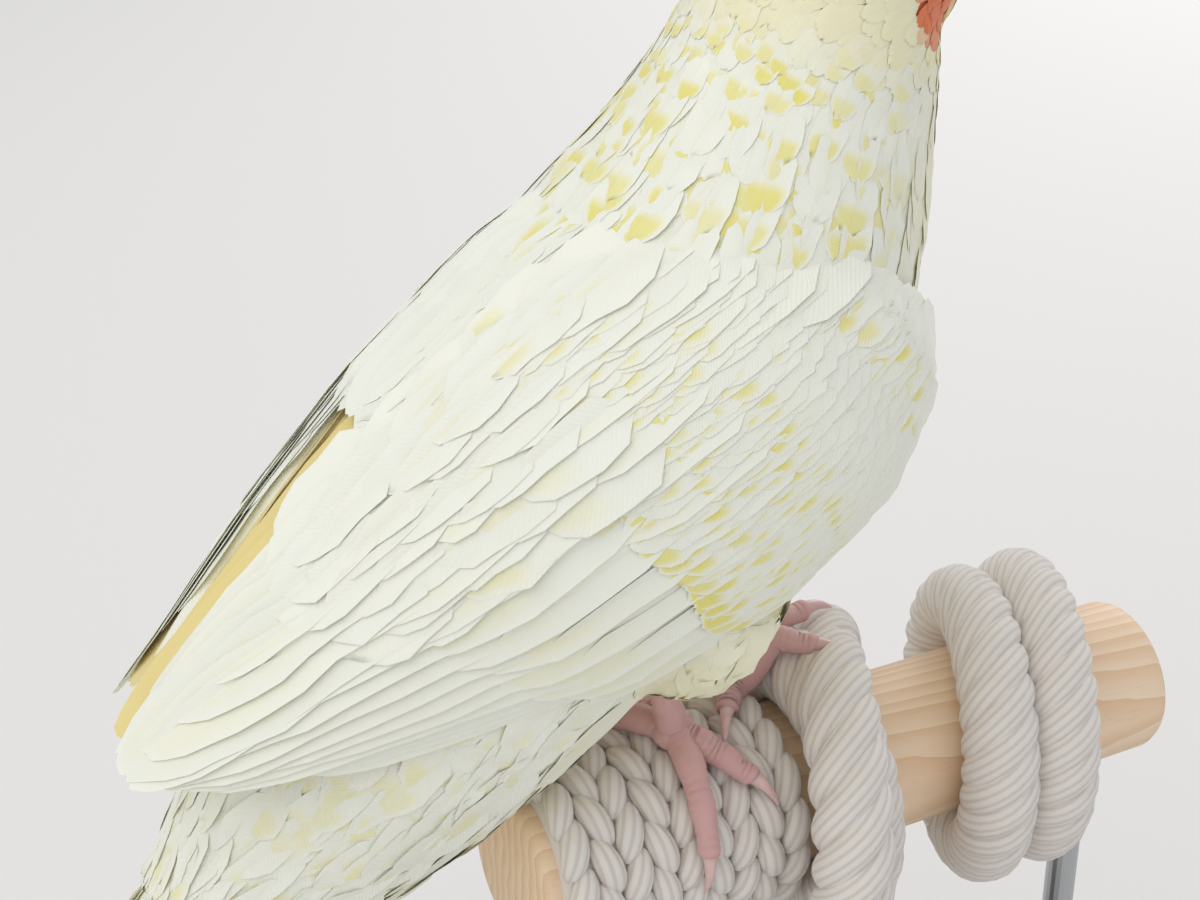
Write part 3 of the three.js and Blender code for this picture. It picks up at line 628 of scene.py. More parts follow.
def makeCoat():
    rng = np.random.default_rng(coat["seed"])

    def spacingAt(points):
        gap = np.interp(bodyCoordinates(points)[0], coatZones["place"], coatZones["spacing"])
        return gap * (1 - 0.35 * onThigh(points))

    roots, normals = scatter(skinPoints, skinFaces, spacingAt, rng)
    t, angle, nearest = bodyCoordinates(roots)
    n = len(roots)
    length = np.interp(t, coatZones["place"], coatZones["length"]) * rng.uniform(0.85, 1.15, n)
    length *= 1 - 0.45 * onThigh(roots)
    muzzle = ease(headCoordinates(roots)[:, 0], 6, 17) * ease(t, 9.8, 10.5)
    length *= 1 - 0.5 * muzzle
    width = length * np.interp(t, [0, 9, 11], [0.6, 0.62, 0.5])
    flow = flowAt(roots, normals, nearest, t)
    sideways = np.cross(normals, flow)
    jitter = rng.normal(0, 7 * rad, n)[:, None]
    flow = unit(flow * np.cos(jitter) + sideways * np.sin(jitter))
    rise = coat["rise"] * np.interp(t, [0, 9, 11], [1.0, 0.9, 0.55])
    centre, sides, ups, keep = coatCourses(roots, normals, flow, length, rise)
    keep &= clearOfFace(centre, t)
    marks, face = bodyMarks(centre[:, -2])
    root = bodyUnwrap(roots)
    chance = rng.random(n)
    marks[:, 0] *= rng.uniform(0.5, 1.0, n) * (rng.random(n) < 0.62)
    regions = [
        ("coat_head", "head", t > 9.6),
        ("coat_neck", "neck", (t > 7.6) & (t <= 9.6)),
        ("coat_back", "torso", (t <= 7.6) & (angle < 90)),
        ("coat_belly", "torso", (t <= 7.6) & (angle >= 90)),
    ]
    for name, slot, chosen in regions:
        picked = np.flatnonzero(chosen & keep)
        for part, some in enumerate(np.array_split(picked, 1 + len(picked) // coat["pieceSize"]), 1):
            each = (grid[some] for grid in (centre, sides, ups, width, chance, marks, face, root))
            buildVanes(f"{name}_{part}", *each, feathered, slot, columns=7, camber=coat["camber"], notch=0.09,
                       seed=coat["seed"])
        print(name, len(picked), "feathers")


makeCoat()


# Wings. Each tier runs from the flank up to the back. Its root and tip give u, millimetres behind the bend,
# for its first and last feather, then the angle in degrees from the back's midline for both.
wingTiers = [
    {"name": "inner_tertials", "count": 5, "root": [36, 42, 27, 7], "tip": [112, 86, 19, 5],
     "width": [14, 12], "lift": [-1.0, -2.4], "steps": 13, "pearl": 0.0, "gold": 0.8},
    {"name": "primaries", "count": 7, "root": [40, 24, 116, 112], "tip": [95, 110, 80, 46],
     "width": [10.5, 12], "lift": [-1.2, -0.9], "steps": 14, "pearl": 0.0},
    {"name": "secondaries", "count": 7, "root": [34, 44, 106, 60], "tip": [108, 113, 56, 33],
     "width": [14, 16], "lift": [-0.8, -0.45], "steps": 14, "pearl": 0.1},
    {"name": "tertials", "count": 4, "root": [44, 50, 52, 34], "tip": [114, 99, 37, 24], "width": [16, 14],
     "lift": [-0.45, -0.15], "steps": 13, "pearl": 0.15},
    {"name": "greater_coverts", "count": 9, "root": [24, 34, 116, 46], "tip": [62, 80, 115, 46],
     "width": [13, 15], "lift": [-0.3, 0.2], "steps": 9, "pearl": 0.3},
    {"name": "median_coverts", "count": 9, "root": [14, 20, 116, 42], "tip": [40, 53, 115, 41],
     "width": [11.5, 13.5], "lift": [0.1, 0.45], "steps": 7, "pearl": 0.6},
]
wingFill = {"to": 105, "depth": 1.35}
wingRim = {"root": 50, "tip": 108, "angles": (16.0, 13.0), "width": 6.4, "camber": 0.8, "lift": -2.3}
cape = {"from": -8, "to": 44, "step": 4.2, "spread": 9, "past": 8}
wingOutline = np.array([  # u, top angle, bottom angle, depth
    [-6, 66, 96, 2], [-1, 44, 110, 5], [10, 30, 119, 6], [27, 22, 122, 6], [46, 17, 121, 5.5],
    [65, 14, 116, 4.5], [82, 12, 104, 3.5], [96, 11, 80, 2.6], [108, 14, 54, 1.8], [113, 22, 40, 1.2],
], float)


def outlineAt(u, column):
    return np.interp(u, wingOutline[:, 0], wingOutline[:, column])


def wingUnwrap(side, u, angle):
    return np.stack([0.5 + 0.24 * side + 0.22 * (angle - 65) / 65, 0.05 + 0.9 * (u + 8) / 130], -1)


def wingVanes(wing, name, root, tip, lift, slope, tilt, steps, width, pearl, chance, material, gold=0.0,
              **form):
    side, slot = wing["side"], wing["slot"]
    s = fromQuill(steps)
    u, angle = (a[:, None] + (b - a)[:, None] * share for a, b, share in zip(root, tip, (s, s ** 1.15)))
    centre = onWing(side, u, angle, (lift - wing["drop"])[:, None] + slope * s)
    up = wingOutward(side, u, angle)
    sideways = unit(np.cross(up, unit(np.gradient(centre, axis=1)))) * side
    marks = np.stack(np.broadcast_arrays(pearl, gold, 0 * chance), 1)
    buildVanes(f"{slot}_{name}", centre, unit(sideways - up * tilt), up, width, chance, marks, 0 * chance,
               wingUnwrap(side, *root), material, slot, **form)


def makeWingCore(wing):
    us = np.linspace(wingOutline[0, 0] + 2, wingFill["to"], 34)
    columns = 16
    ring = []
    for u in us:
        top, bottom, depth = (outlineAt(u, column) for column in (1, 2, 3))
        angles = np.linspace(top + 2, bottom - 2, columns)
        inside = max(depth, 2.5) + 0.3
        ring.append(onWing(wing["side"], u, angles, -wingFill["depth"] - wing["drop"]))
        ring.append(onWing(wing["side"], u, angles[::-1], -inside - wing["drop"]))
    points = np.concatenate(ring)
    count = len(points)
    vane = np.tile([0.0, 0.2, 0.5], (count, 1))
    uv = wingUnwrap(wing["side"], np.repeat(us, columns * 2), np.full(count, 60.0))
    faces = facedOut(points, ringFaces(len(us), columns * 2))
    newPiece(wing["slot"] + "_core", points, faces, feathered, [wing["slot"]], uv=uv,
             data={"vane": vane, "marks": 0 * vane, "face": np.zeros(count)})


def makeTier(wing, tier, rng, reach, seed):
    n = tier["count"]
    t = np.linspace(0, 1, n)
    mixed = lambda pair: pair[0] + (pair[1] - pair[0]) * t
    tipU = mixed(tier["tip"][:2]) * reach + rng.normal(0, 0.8, n)
    tipAngle = mixed(tier["tip"][2:]) + rng.normal(0, 0.6, n)
    root = mixed(tier["root"][:2]), mixed(tier["root"][2:])
    wingVanes(wing, tier["name"], root, (tipU, tipAngle), mixed(tier["lift"]), 0.15, 0.012, tier["steps"],
              mixed(tier["width"]), tier["pearl"] * rng.uniform(0.3, 1, n), rng.random(n), longFeathered,
              tier.get("gold", 0.0), columns=9, shut=0.08, camber=0.0, shaft=0.05, notch=0.012, seed=seed)


def makeWing(side, word, seed, drop=0.0, reach=1.0):
    rng = np.random.default_rng(seed)
    wing = {"side": side, "slot": "wing_" + word, "drop": drop}
    makeWingCore(wing)
    for tier in wingTiers:
        makeTier(wing, tier, rng, reach, seed)
    root, tip, lift, width, chance = (np.array([value]) for value in (
        wingRim["root"], wingRim["tip"] * reach, wingRim["lift"], wingRim["width"], 0.3))
    rootAngle, tipAngle = (np.array([angle]) for angle in wingRim["angles"])
    wingVanes(wing, "rim", (root, rootAngle), (tip, tipAngle), lift, 0, 0, 16, width, 0.0, chance,
              longFeathered, columns=11, shut=0.08, camber=wingRim["camber"], notch=0.0, seed=seed)
    makeSmallCoverts(wing, rng)
    makeCape(wing, rng)
    print(wing["slot"], "feathered")


def makeShortVanes(wing, name, rows, rng, turn, liftAt, slope, seed):
    u, angle, length, width, pearl = np.array(rows).T
    wingVanes(wing, name, (u, angle), (u + length, angle + turn), liftAt(u, angle), slope, 0.015, 7, width,
              pearl, rng.random(len(rows)), feathered, columns=7, camber=0.02, notch=0.06, seed=seed)


def makeCape(wing, rng):
    rows = []
    for row, u in enumerate(np.arange(cape["from"], cape["to"], cape["step"])):
        last = outlineAt(u + 20, 1) + cape["past"]
        for angle in np.arange(2 + 0.5 * cape["spread"] * (row % 2), last, cape["spread"]):
            rows.append((u + rng.uniform(-1, 1), angle + rng.uniform(-1.5, 1.5),
                         rng.uniform(17, 20) + 0.25 * angle, rng.uniform(11, 13),
                         rng.uniform(0.4, 1) * (rng.random() < 0.7 - 0.02 * u)))

    def liftAt(u, angle):
        return 0.15 - 0.8 * (1 - ease(u, -8, 2)) + wing["drop"] * (1 - ease(angle, 0, 14))

    makeShortVanes(wing, "scapulars", rows, rng, 2, liftAt, 0.15, 6)


def makeSmallCoverts(wing, rng):
    rows = []
    for row, u in enumerate(np.arange(-6, 34, 2.6)):
        top, bottom = outlineAt(u, 1), outlineAt(u, 2)
        count = int(7 + 14 * ease(u, -6, 12))
        for k in range(count):
            share = (k + 0.5 * (row % 2) + rng.uniform(-0.2, 0.2)) / count
            size = 1 + 0.35 * ease(share, 0.6, 1)
            rows.append((u + rng.uniform(-0.6, 0.6) + 3 * share, bottom + 1 - (bottom - top) * share,
                         size * rng.uniform(9.5, 11.5), size * rng.uniform(6.6, 7.8),
                         (1.1 - 0.3 * share) * rng.uniform(0.75, 1) * (rng.random() < 0.9)))
    for row, u in enumerate(np.arange(-4, 66, 5.2)):
        top = outlineAt(u, 1) - 6 * (1 - ease(u, 20, 50))
        for k in range(4 if u > 30 else 1):
            rows.append((u + rng.uniform(-1.2, 1.2), top + 5 + 10 * k + rng.uniform(-2, 2) + 5 * (row % 2),
                         rng.uniform(18, 23), rng.uniform(12, 14),
                         0.6 * rng.uniform(0.3, 1) * (rng.random() < 0.4) * (1 - ease(u, 30, 60))))

    def liftAt(u, angle):
        return 0.1 + 0.5 * ease(u, 2, 14) - 0.4 * ease(u, 36, 56)

    makeShortVanes(wing, "small_coverts", rows, rng, 0, liftAt, 0.12, 5)


makeWing(-1, "right", 21)
makeWing(1, "left", 22, 1.5, 0.975)


# The tail
tailFeathers = {"count": 12, "longest": 150, "step": 15, "width": 11.5, "spacing": 1.9, "fan": 1.1,
                "lift": 0.55, "seed": 31}
tailCoverts = {"starts": [-9, -3, 4], "round": 20, "back": [-9, 2, 20, 46], "wide": [12.4, 10.6, 9.2, 8.2],
               "tall": [10.6, 8.8, 5.6, 2.6]}


def onTail(back, across, up):
    across = across[..., None] * np.array([0, 1.0, 0])
    return tailOrigin + back[..., None] * tailBack + across + up[..., None] * tailUp


def makeTailFeathers():
    half = tailFeathers["count"] // 2
    rows = []
    for i in range(tailFeathers["count"]):
        side = -1 if i < half else 1
        rank = i - half if side > 0 else half - 1 - i
        layer = {(-1, 0): 1, (1, 0): 0}.get((side, rank), rank + 1)
        rows.append((tailFeathers["longest"] - tailFeathers["step"] * rank * (1 - 0.03 * rank),
                     side * (0.9 + tailFeathers["spacing"] * rank), side * tailFeathers["fan"] * rank,
                     -layer * tailFeathers["lift"], tailFeathers["width"] - 0.3 * rank))
    length, across, fan, lift, width = np.array(rows, float).T
    back = 2 + length[:, None] * fromQuill(18)
    y = across[:, None] + back * np.tan(fan[:, None] * rad)
    centre = onTail(back, y, lift[:, None] - 0.02 * y ** 2)
    sideways = np.array([0, 1.0, 0]) - tailUp * (0.04 * y)[..., None]
    up = np.broadcast_to(tailUp, centre.shape)
    rng = np.random.default_rng(tailFeathers["seed"])
    n = len(rows)
    uv = np.stack([0.5 + across / 60, np.full(n, 0.2)], -1)
    marks = np.tile([0.3, 0, 0], (n, 1))
    buildVanes("tail_feathers", centre, unit(sideways), up, width, rng.random(n), marks,
               np.full(n, 0.25), uv, longFeathered, "tail", ["tail"], columns=9, shut=0.15,
               camber=0.03, shaft=0.12, notch=0.02, seed=tailFeathers["seed"])


def makeTailCoverts():
    rng = np.random.default_rng(33)
    rings = np.linspace(0, 2 * math.pi, tailCoverts["round"], endpoint=False)
    start, phi = (grid.ravel() for grid in np.meshgrid(tailCoverts["starts"], rings))
    n = len(start)
    phi = (phi + start * 0.1 + rng.uniform(-0.06, 0.06, n))[:, None]
    length = rng.uniform(30, 42, n)
    back = start[:, None] + length[:, None] * fromQuill(9)
    wide, tall = (np.interp(back, tailCoverts["back"], tailCoverts[key]) for key in ("wide", "tall"))
    centre = onTail(back, wide * np.sin(phi), tall * np.cos(phi) - 1.2)
    lateral = (np.sin(phi) / wide)[..., None] * np.array([0, 1.0, 0])
    up = unit(lateral + (np.cos(phi) / tall)[..., None] * tailUp)
    sideways = unit(np.cross(up, unit(np.gradient(centre, axis=1))))
    uv = np.stack([0.5 + 0.05 * phi[:, 0], 0.15 + 0.01 * start], -1)
    buildVanes("tail_coverts", centre, unit(sideways + up * 0.03), up, rng.uniform(8, 9.5, n), rng.random(n),
               np.tile([0.4, 0, 0], (n, 1)), np.full(n, 0.12), uv, feathered, "tail", columns=7, camber=0.05,
               notch=0.08, seed=34)


makeTailFeathers()
makeTailCoverts()
print("tail feathered")


# The crest, swept back from the brow
crest = {"count": 15, "rootFrom": 15, "rootTo": -4, "shortest": 17, "longest": 46, "width": 4.4, "lean": 34}


def makeCrest():
    rng = np.random.default_rng(41)
    n = crest["count"]
    t = np.linspace(0, 1, n)
    f = crest["rootFrom"] + (crest["rootTo"] - crest["rootFrom"]) * t
    length = crest["longest"] + (crest["shortest"] - crest["longest"]) * np.abs(t - 0.38) * 1.5
    sway = rng.uniform(-2.4, 2.4, n)
    s = fromQuill(14)
    lean = crest["lean"] * rad + 0.5 * t[:, None] + (0.9 - 0.5 * t[:, None]) * s - 0.75 * s ** 2
    run = length[:, None] * s
    height = 15 - 0.045 * (f + 2) ** 2
    x = f[:, None] + 1 - run * np.sin(lean)
    z = height[:, None] - 3.5 + run * np.cos(lean)
    y = sway[:, None] * (1 + 0.35 * s)
    centre = inHead(x, y, z)
    ahead = unit(np.gradient(centre, axis=1))
    sideways = np.broadcast_to(inHead(0, 1, 0) - headCentre, centre.shape)
    up = unit(np.cross(ahead, sideways))
    uv = np.stack([0.5 + sway / 20, 0.9 - 0.1 * t], -1)
    buildVanes("crest_feathers", centre, sideways, up, np.full(n, crest["width"]), rng.random(n),
               np.zeros((n, 3)), np.full(n, 0.75), uv, longFeathered, "crest", ["crest"], columns=7,
               shut=0.16, blunt=False, camber=0.3, shaft=0.15, seed=42)


makeCrest()


# Round things: tubes, lofts and turned shapes

def loftPiece(name, rings, material, replaces=(), data=None):
    points = np.asarray(rings)
    faces = ringFaces(*points.shape[:2])
    points = points.reshape(-1, 3)
    newPiece(name, points, facedOut(points, faces), material, replaces, data=data)


def tubeRings(path, radius, n=16):
    ahead = unit(np.gradient(path, axis=0))
    side = np.array([0.0, 1.0, 0.0])
    rings = []
    for p, d, r in zip(path, ahead, radius):
        up = unit(np.cross(d, side))
        side = unit(np.cross(up, d))
        a = np.linspace(0, 2 * math.pi, n, endpoint=False)[:, None]
        rings.append(p + r * (np.cos(a) * up + np.sin(a) * side))
    return np.array(rings)


def smoothPath(points, count):
    return throughPoints(np.asarray(points, float), np.linspace(0, len(points) - 1, count))


# The bill, cere, lids and eyes
hornPale = hornMaterial("bill horn", shade(222, 190, 168), shade(240, 222, 204))
clawHorn = hornMaterial("claw horn", shade(206, 160, 158), shade(232, 208, 200))
legSkin = skinMaterial("leg skin", shade(232, 190, 184), shade(216, 166, 164), 900)
lidSkin = skinMaterial("lid skin", shade(230, 210, 196), shade(204, 180, 170), 1800)


def makeBill():
    steps, n = 30, 28
    sideways, ahead, upward = (inHead(*axis) - headCentre for axis in ((0, 1, 0), (1, 0, 0), (0, 0, 1)))
    reach, depth, width = (billPlace[key] for key in ("reach", "depth", "width"))
    a = np.linspace(0, 2 * math.pi, n, endpoint=False)[:, None]
    rings = []
    for t in np.linspace(0, 1, steps):
        turn = math.pi / 2 - t * billPlace["drop"] * rad
        across, rise = reach * math.cos(turn), reach * math.sin(turn)
        centre = inHead(billPlace["f"] + 0.9 + across, 0, billPlace["z"] + rise)
        outward = ahead * math.cos(turn) + upward * math.sin(turn)
        taper = (1 - t) ** 0.62
        height = 0.3 + np.where(np.cos(a) > 0, 1, 0.8) * depth * taper
        rings.append(centre + np.cos(a) * height * outward + np.sin(a) * (0.3 + width * taper) * sideways)
    loftPiece("bill_upper_horn", rings, hornPale, ["bill_upper"])
    path = smoothPath([inHead(f, 0, z) for f, z in billPlace["lower"]], 18)
    thick = 3.2 - 2.2 * np.linspace(0, 1, 18) ** 2
    loftPiece("bill_lower_horn", tubeRings(path, thick, 22), hornPale, ["bill_lower"])


def ballPoints(count=(28, 40)):
    rows, columns = count
    lat = np.linspace(0, math.pi, rows + 2)[1:-1]
    lon = np.linspace(0, 2 * math.pi, columns, endpoint=False)
    grid = np.stack([np.sin(lat)[:, None] * np.cos(lon), np.sin(lat)[:, None] * np.sin(lon),
                     np.cos(lat)[:, None] * np.ones(columns)], -1)
    points = np.concatenate([[[0, 0, 1.0]], grid.reshape(-1, 3), [[0, 0, -1.0]]])
    faces = [(1 + i * columns + j, 1 + (i + 1) * columns + j, 1 + (i + 1) * columns + (j + 1) % columns,
              1 + i * columns + (j + 1) % columns) for i in range(rows - 1) for j in range(columns)]
    last = len(points) - 1
    faces += [(0, 1 + j, 1 + (j + 1) % columns) for j in range(columns)]
    faces += [(last, last - columns + (j + 1) % columns, last - columns + j) for j in range(columns)]
    return points, faces


def makeCere():
    points, faces = ballPoints((36, 48))
    centre = np.array([billPlace["f"] - 0.4, 0, billPlace["z"] + billPlace["reach"] + 0.3])
    shape = centre + points * np.array([4.7, 5.6, 4.3])
    for side in (-1, 1):
        mound = np.array([billPlace["f"] + 2.6, side * 2.7, billPlace["z"] + billPlace["reach"] + 2.4])
        gap = np.linalg.norm(shape - mound, axis=1)
        outward = unit(shape - centre)
        shape = shape + outward * (0.7 * np.exp(-(gap / 2.0) ** 2) - 1.7 * np.exp(-(gap / 0.8) ** 2))[:, None]
    shape = inHead(*shape.T)
    newPiece("cere", shape, facedOut(shape, faces), lidSkin)


lid = {"reach": 3.5, "thick": 0.5, "out": 2.2, "deep": 0.6, "bead": 0.06, "beads": 16, "upper": 0.9,
       "lower": 0.94, "steps": 48, "sides": 12}


def eyeMaterial():
    look = Finish("dark red eye")
    place = look.attribute("iris")
    ringed = look.mix(place.clamp(0.5, 0.56), shade(6, 3, 4), shade(92, 26, 22))
    color = look.mix(place.clamp(0.86, 0.98), ringed, shade(30, 10, 10))
    look.set(Base_Color=color, Roughness=0.06, Coat_Weight=1.0)
    return look.material


def makeLid(side, word):
    rings = []
    for k in np.linspace(0, 2 * math.pi, lid["steps"], endpoint=False):
        high = math.sin(k) * (lid["upper"] if math.sin(k) > 0 else lid["lower"])
        for a in np.linspace(0, 2 * math.pi, lid["sides"], endpoint=False):
            reach = lid["reach"] + lid["thick"] * math.cos(a) + lid["bead"] * math.sin(lid["beads"] * k)
            rings.append([eyePlace["f"] + reach * math.cos(k),
                          side * (eyePlace["out"] + lid["out"] + lid["deep"] * math.sin(a)),
                          eyePlace["z"] + reach * high])
    points = inHead(*np.array(rings).T)
    faces = facedOut(points, ringFaces(lid["steps"], lid["sides"], True))
    newPiece("lid_" + word, points, faces, lidSkin)


def makeEyes():
    glossy = eyeMaterial()
    for side, word in ((-1, "right"), (1, "left")):
        points, faces = ballPoints()
        turned = points[:, [0, 2, 1]] * np.array([1, side, 1])
        radial = np.hypot(points[:, 0], points[:, 1]) + (points[:, 2] < 0) * 2
        local = np.array([eyePlace["f"], side * eyePlace["out"], eyePlace["z"]]) + turned * eyePlace["radius"]
        globe = inHead(*local.T)
        newPiece("eye_globe_" + word, globe, facedOut(globe, faces), glossy, ["eye_" + word],
                 data={"iris": radial})
        makeLid(side, word)


makeBill()
makeCere()
makeEyes()
print("head finished")


# Legs, feet and claws, on the same courses over the bound dowel as the solids'
bearing = perch["bearing"] * rad
alongPerch = np.array([math.cos(bearing), math.sin(bearing), 0])
towardsViewer = np.array([math.sin(bearing), -math.cos(bearing), 0])
feet = {  # each toe's bearing from the dowel's axis, its length, and how far it climbs onto the rope
    "right": {"side": -1, "along": -13, "around": 12, "toes": {
        "toe_2": (-52, 13, 0), "toe_3": (-95, 19, 0), "toe_4": (125, 17, 0), "hallux": (85, 10, 0)}},
    "left": {"side": 1, "along": 1, "around": -10, "toes": {
        "toe_2": (-38, 13, 7.6), "toe_3": (8, 15, 7.6), "toe_4": (118, 16, 0), "hallux": (-125, 7, 0)}},
}
toe = {"root": 2.35, "tip": 1.5, "claw": 6.0, "clawRadius": 1.2}
shank = {"radius": 2.1, "height": 12.5, "back": 5, "out": 4, "palm": [3.3, 3.3, 2.8]}


def onPerch(station, around, lift):
    station, around, lift = np.broadcast_arrays(station, around, lift)
    radius = perch["crest"] + lift
    return (station[..., None] * alongPerch + (radius * np.sin(around))[..., None] * towardsViewer
            + np.stack([0 * radius, 0 * radius, perch["height"] + radius * np.cos(around)], -1))


def toeCourse(foot, bearingAngle, run, lift):
    course = bearingAngle * rad
    radius = perch["crest"] + lift
    around = foot["around"] * rad - run * math.sin(course) / radius
    return onPerch(foot["along"] + run * math.cos(course), around, lift)


def makeFoot(word, foot):
    sole = onPerch(np.array(float(foot["along"])), foot["around"] * rad, 2.2)
    ankle = sole + np.array([-shank["back"], foot["side"] * shank["out"], shank["height"] + 4])
    path = smoothPath([sole, (sole + ankle) / 2, ankle], 40)
    t = np.linspace(0, 1, 40)
    scutes = 0.1 * np.abs(np.sin(t * math.pi * 13))
    rings = tubeRings(path, shank["radius"] + 0.45 * (2 * t - 1) ** 2 + scutes, 18)
    loftPiece("shank_" + word, rings, legSkin, ["foot_" + word])
    points, faces = ballPoints((16, 24))
    palm = sole + points * np.array(shank["palm"])
    newPiece("palm_" + word, palm, facedOut(palm, faces), legSkin)
    for name, (angle, length, climb) in foot["toes"].items():
        t = np.linspace(0, 1, 44)
        run = length * t
        climbing = climb * ease(run, 1, 8)
        radius = toe["root"] + (toe["tip"] - toe["root"]) * t
        radius = radius + 0.1 * np.cos(2 * math.pi * t * 3) + 0.12 * np.abs(np.sin(t * math.pi * 15))
        centre = toeCourse(foot, angle, run, radius + 0.05 + climbing)
        loftPiece(f"{name}_{word}", tubeRings(centre, radius, 18), legSkin)
        s = np.linspace(0, 1, 16)
        clawRun = length - 1.2 + (toe["claw"] + 0.8) * s
        lift = 1.5 + 0.9 * np.sin(math.pi * s) - 0.9 * s + climb
        spike = toeCourse(foot, angle, clawRun, lift)
        node = f"claw_{word}_{name}"
        taper = toe["clawRadius"] * (1 - s) ** 0.7 + 0.12
        loftPiece(f"nail_{word}_{name}", tubeRings(spike, taper, 14), clawHorn, [node])


for word, foot in feet.items():
    makeFoot(word, foot)
print("feet finished")


# The perch: pine dowel, knitted cord sleeve and twisted rope

def woodMaterial():
    look = Finish("planed pine")
    place = look.stretched((14, 260, 260), -bearing)
    warp = look.noise(1.0, 4, place)
    rings = look.node("ShaderNodeTexWave", {"bands_direction": "Y", "wave_profile": "SAW"}, "Fac",
                      Vector=place, Scale=0.55, Distortion=5.0, Detail=3.0)
    fine = look.noise(1.0, 2, look.stretched((60, 2600, 2600), -bearing))
    color = look.mix(rings * 0.75, shade(246, 222, 192), shade(226, 186, 144))
    color = look.mix(warp.clamp(0.45, 0.8) * 0.4, color, shade(236, 204, 166))
    color = look.mix(fine.clamp(0.55, 0.8) * 0.25, color, shade(206, 164, 122))
    look.set(Base_Color=color, Roughness=0.55)
    look.bump(fine, 0.15, 0.0002)
    return look.material


def cordMaterial():
    look = Finish("undyed cotton")
    # deep is painted shade where it fills the troughs of the twist stripes, the grooves between the yarns;
    # where the fuzz noise mixes it in, it is the cotton's own darker fibre tone.
    tint, deep = shade(250, 245, 238), shade(228, 217, 206)
    twist = look.attribute("twist")
    strand = twist.math("SINE")
    fuzz = look.noise(2600, 4)
    # Painted shade: the troughs of the twist stripes take the darker cotton tone.
    color = look.mix(strand.clamp(-1.2, 0.4), deep, tint)
    color = look.mix(fuzz * 0.3, color, deep)
    look.set(Base_Color=color, Roughness=0.9, Sheen_Weight=0.3)
    look.bump(strand * 0.35 + fuzz * 0.9, 0.5, 0.0003)
    return look.material


cotton = cordMaterial()


def turnedPiece(name, profile, n, material, replaces=(), data=None):
    angles = np.linspace(0, 2 * math.pi, n, endpoint=False)
    rings = [onPerch(station, angles, radius - perch["crest"]) for radius, station in profile]
    loftPiece(name, rings, material, replaces, data)


def makeDowel():
    r, start, end = perch["dowelRadius"], perch["from"], perch["to"]
    profile = [(0.01, start), (r - 1.2, start), (r - 0.35, start + 0.35), (r, start + 1.2)]
    profile += [(r, s) for s in np.linspace(start + 3, end - 3, 20)]
    profile += [(r, end - 1.2), (r - 0.35, end - 0.35), (r - 1.2, end), (0.01, end)]
    turnedPiece("dowel_pine", profile, 96, woodMaterial(), ["perch_dowel"])


def strandPiece(name, paths, radii, replaces, yarns, lay=0.8, n=12):
    allPoints, faces, twist = [], [], []
    start = 0
    for path, radius in zip(paths, radii):
        rings = tubeRings(path, radius, n)
        rings = np.concatenate([rings, rings[:, :1]], 1)
        steps = len(rings)
        run = np.concatenate([[0], np.cumsum(np.linalg.norm(np.diff(path, axis=0), axis=1))])
        twist.append((run[:, None] * lay + yarns * np.linspace(0, 2 * math.pi, n + 1)[None]).ravel())
        allPoints.append(rings.reshape(-1, 3))
        corners = [start + i * (n + 1) + j for i in range(steps - 1) for j in range(n)]
        faces += [(a, a + 1, a + n + 2, a + n + 1) for a in corners]
        faces.append(tuple(start + j for j in range(n))[::-1])
        faces.append(tuple(start + (steps - 1) * (n + 1) + j for j in range(n)))
        start += steps * (n + 1)
    points = np.concatenate(allPoints)
    data = {"twist": np.concatenate(twist)}
    newPiece(name, points, facedOut(points, faces), cotton, replaces, data=data)


sleeve = {"from": -35.5, "to": 4.0, "pitch": 4.39, "rows": 9, "stitches": 14, "lining": 14.4, "seed": 51}


def makeSleeve():
    rng = np.random.default_rng(sleeve["seed"])
    s = np.linspace(-1, 1, 11)
    bulge = 1 - s ** 2
    paths, radii = [], []
    for row in range(sleeve["rows"]):
        lean = 1 if row % 2 else -1
        middle = sleeve["from"] + (row + 0.5) * sleeve["pitch"]
        for k in range(sleeve["stitches"]):
            around = 2 * math.pi * (k + 0.5 * (row % 2)) / sleeve["stitches"]
            station = middle + lean * s * 1.25 + rng.normal(0, 0.1)
            angle = around + s * 1.22 * math.pi / sleeve["stitches"] + rng.normal(0, 0.01)
            paths.append(onPerch(station, angle, -3.4 + 1.7 * bulge ** 0.7))
            radii.append(0.7 + 1.45 * bulge ** 0.6)
    strandPiece("sleeve_stitches", paths, radii, ["perch_sleeve"], 8)
    start, end, lining = sleeve["from"], sleeve["to"], sleeve["lining"]
    profile = [(lining - 1.8, start), (lining - 0.2, start + 0.4)]
    profile += [(lining, station) for station in np.linspace(start + 2, end - 1.4, 12)]
    profile += [(lining - 0.2, end - 0.4), (lining - 1.8, end)]
    twist = np.zeros(64 * len(profile))
    turnedPiece("sleeve_lining", profile, 64, cotton, data={"twist": twist})


# Each turn: where it crosses the dowel's top, its lean along the dowel at the side, and its rise over what it
# crosses
ropeTurns = {
    "perch_rope_hitch": [(11.4, 0, 0), (16, -12, 8)],
    "perch_rope_band": [(44.2, -8, 0), (55.8, -8, 0)],
}
rope = {"radius": 6.2, "strand": 3.15, "offset": 2.95, "twists": 9, "steps": 170}


def makeRope(node, turns):
    paths = []
    around = np.linspace(math.pi, 3 * math.pi, rope["steps"])
    for turn, (station, lean, rise) in enumerate(turns):
        side = np.sin(around)
        middle = station + lean * side
        radius = perch["dowelRadius"] + 0.3 + rope["radius"] + rise * np.maximum(0, side) ** 0.7
        for strand in range(3):
            phase = rope["twists"] * around + strand * 2 * math.pi / 3 + turn
            lift = radius + rope["offset"] * np.sin(phase) - perch["crest"]
            paths.append(onPerch(middle + rope["offset"] * np.cos(phase), around, lift))
    radii = [np.full(rope["steps"], rope["strand"])] * len(paths)
    strandPiece(node + "_strands", paths, radii, [node], 14, 1.2, 16)


makeDowel()
makeSleeve()
for node, turns in ropeTurns.items():
    makeRope(node, turns)
print("perch finished")


# The stand keeps its solids, with finishes of their own

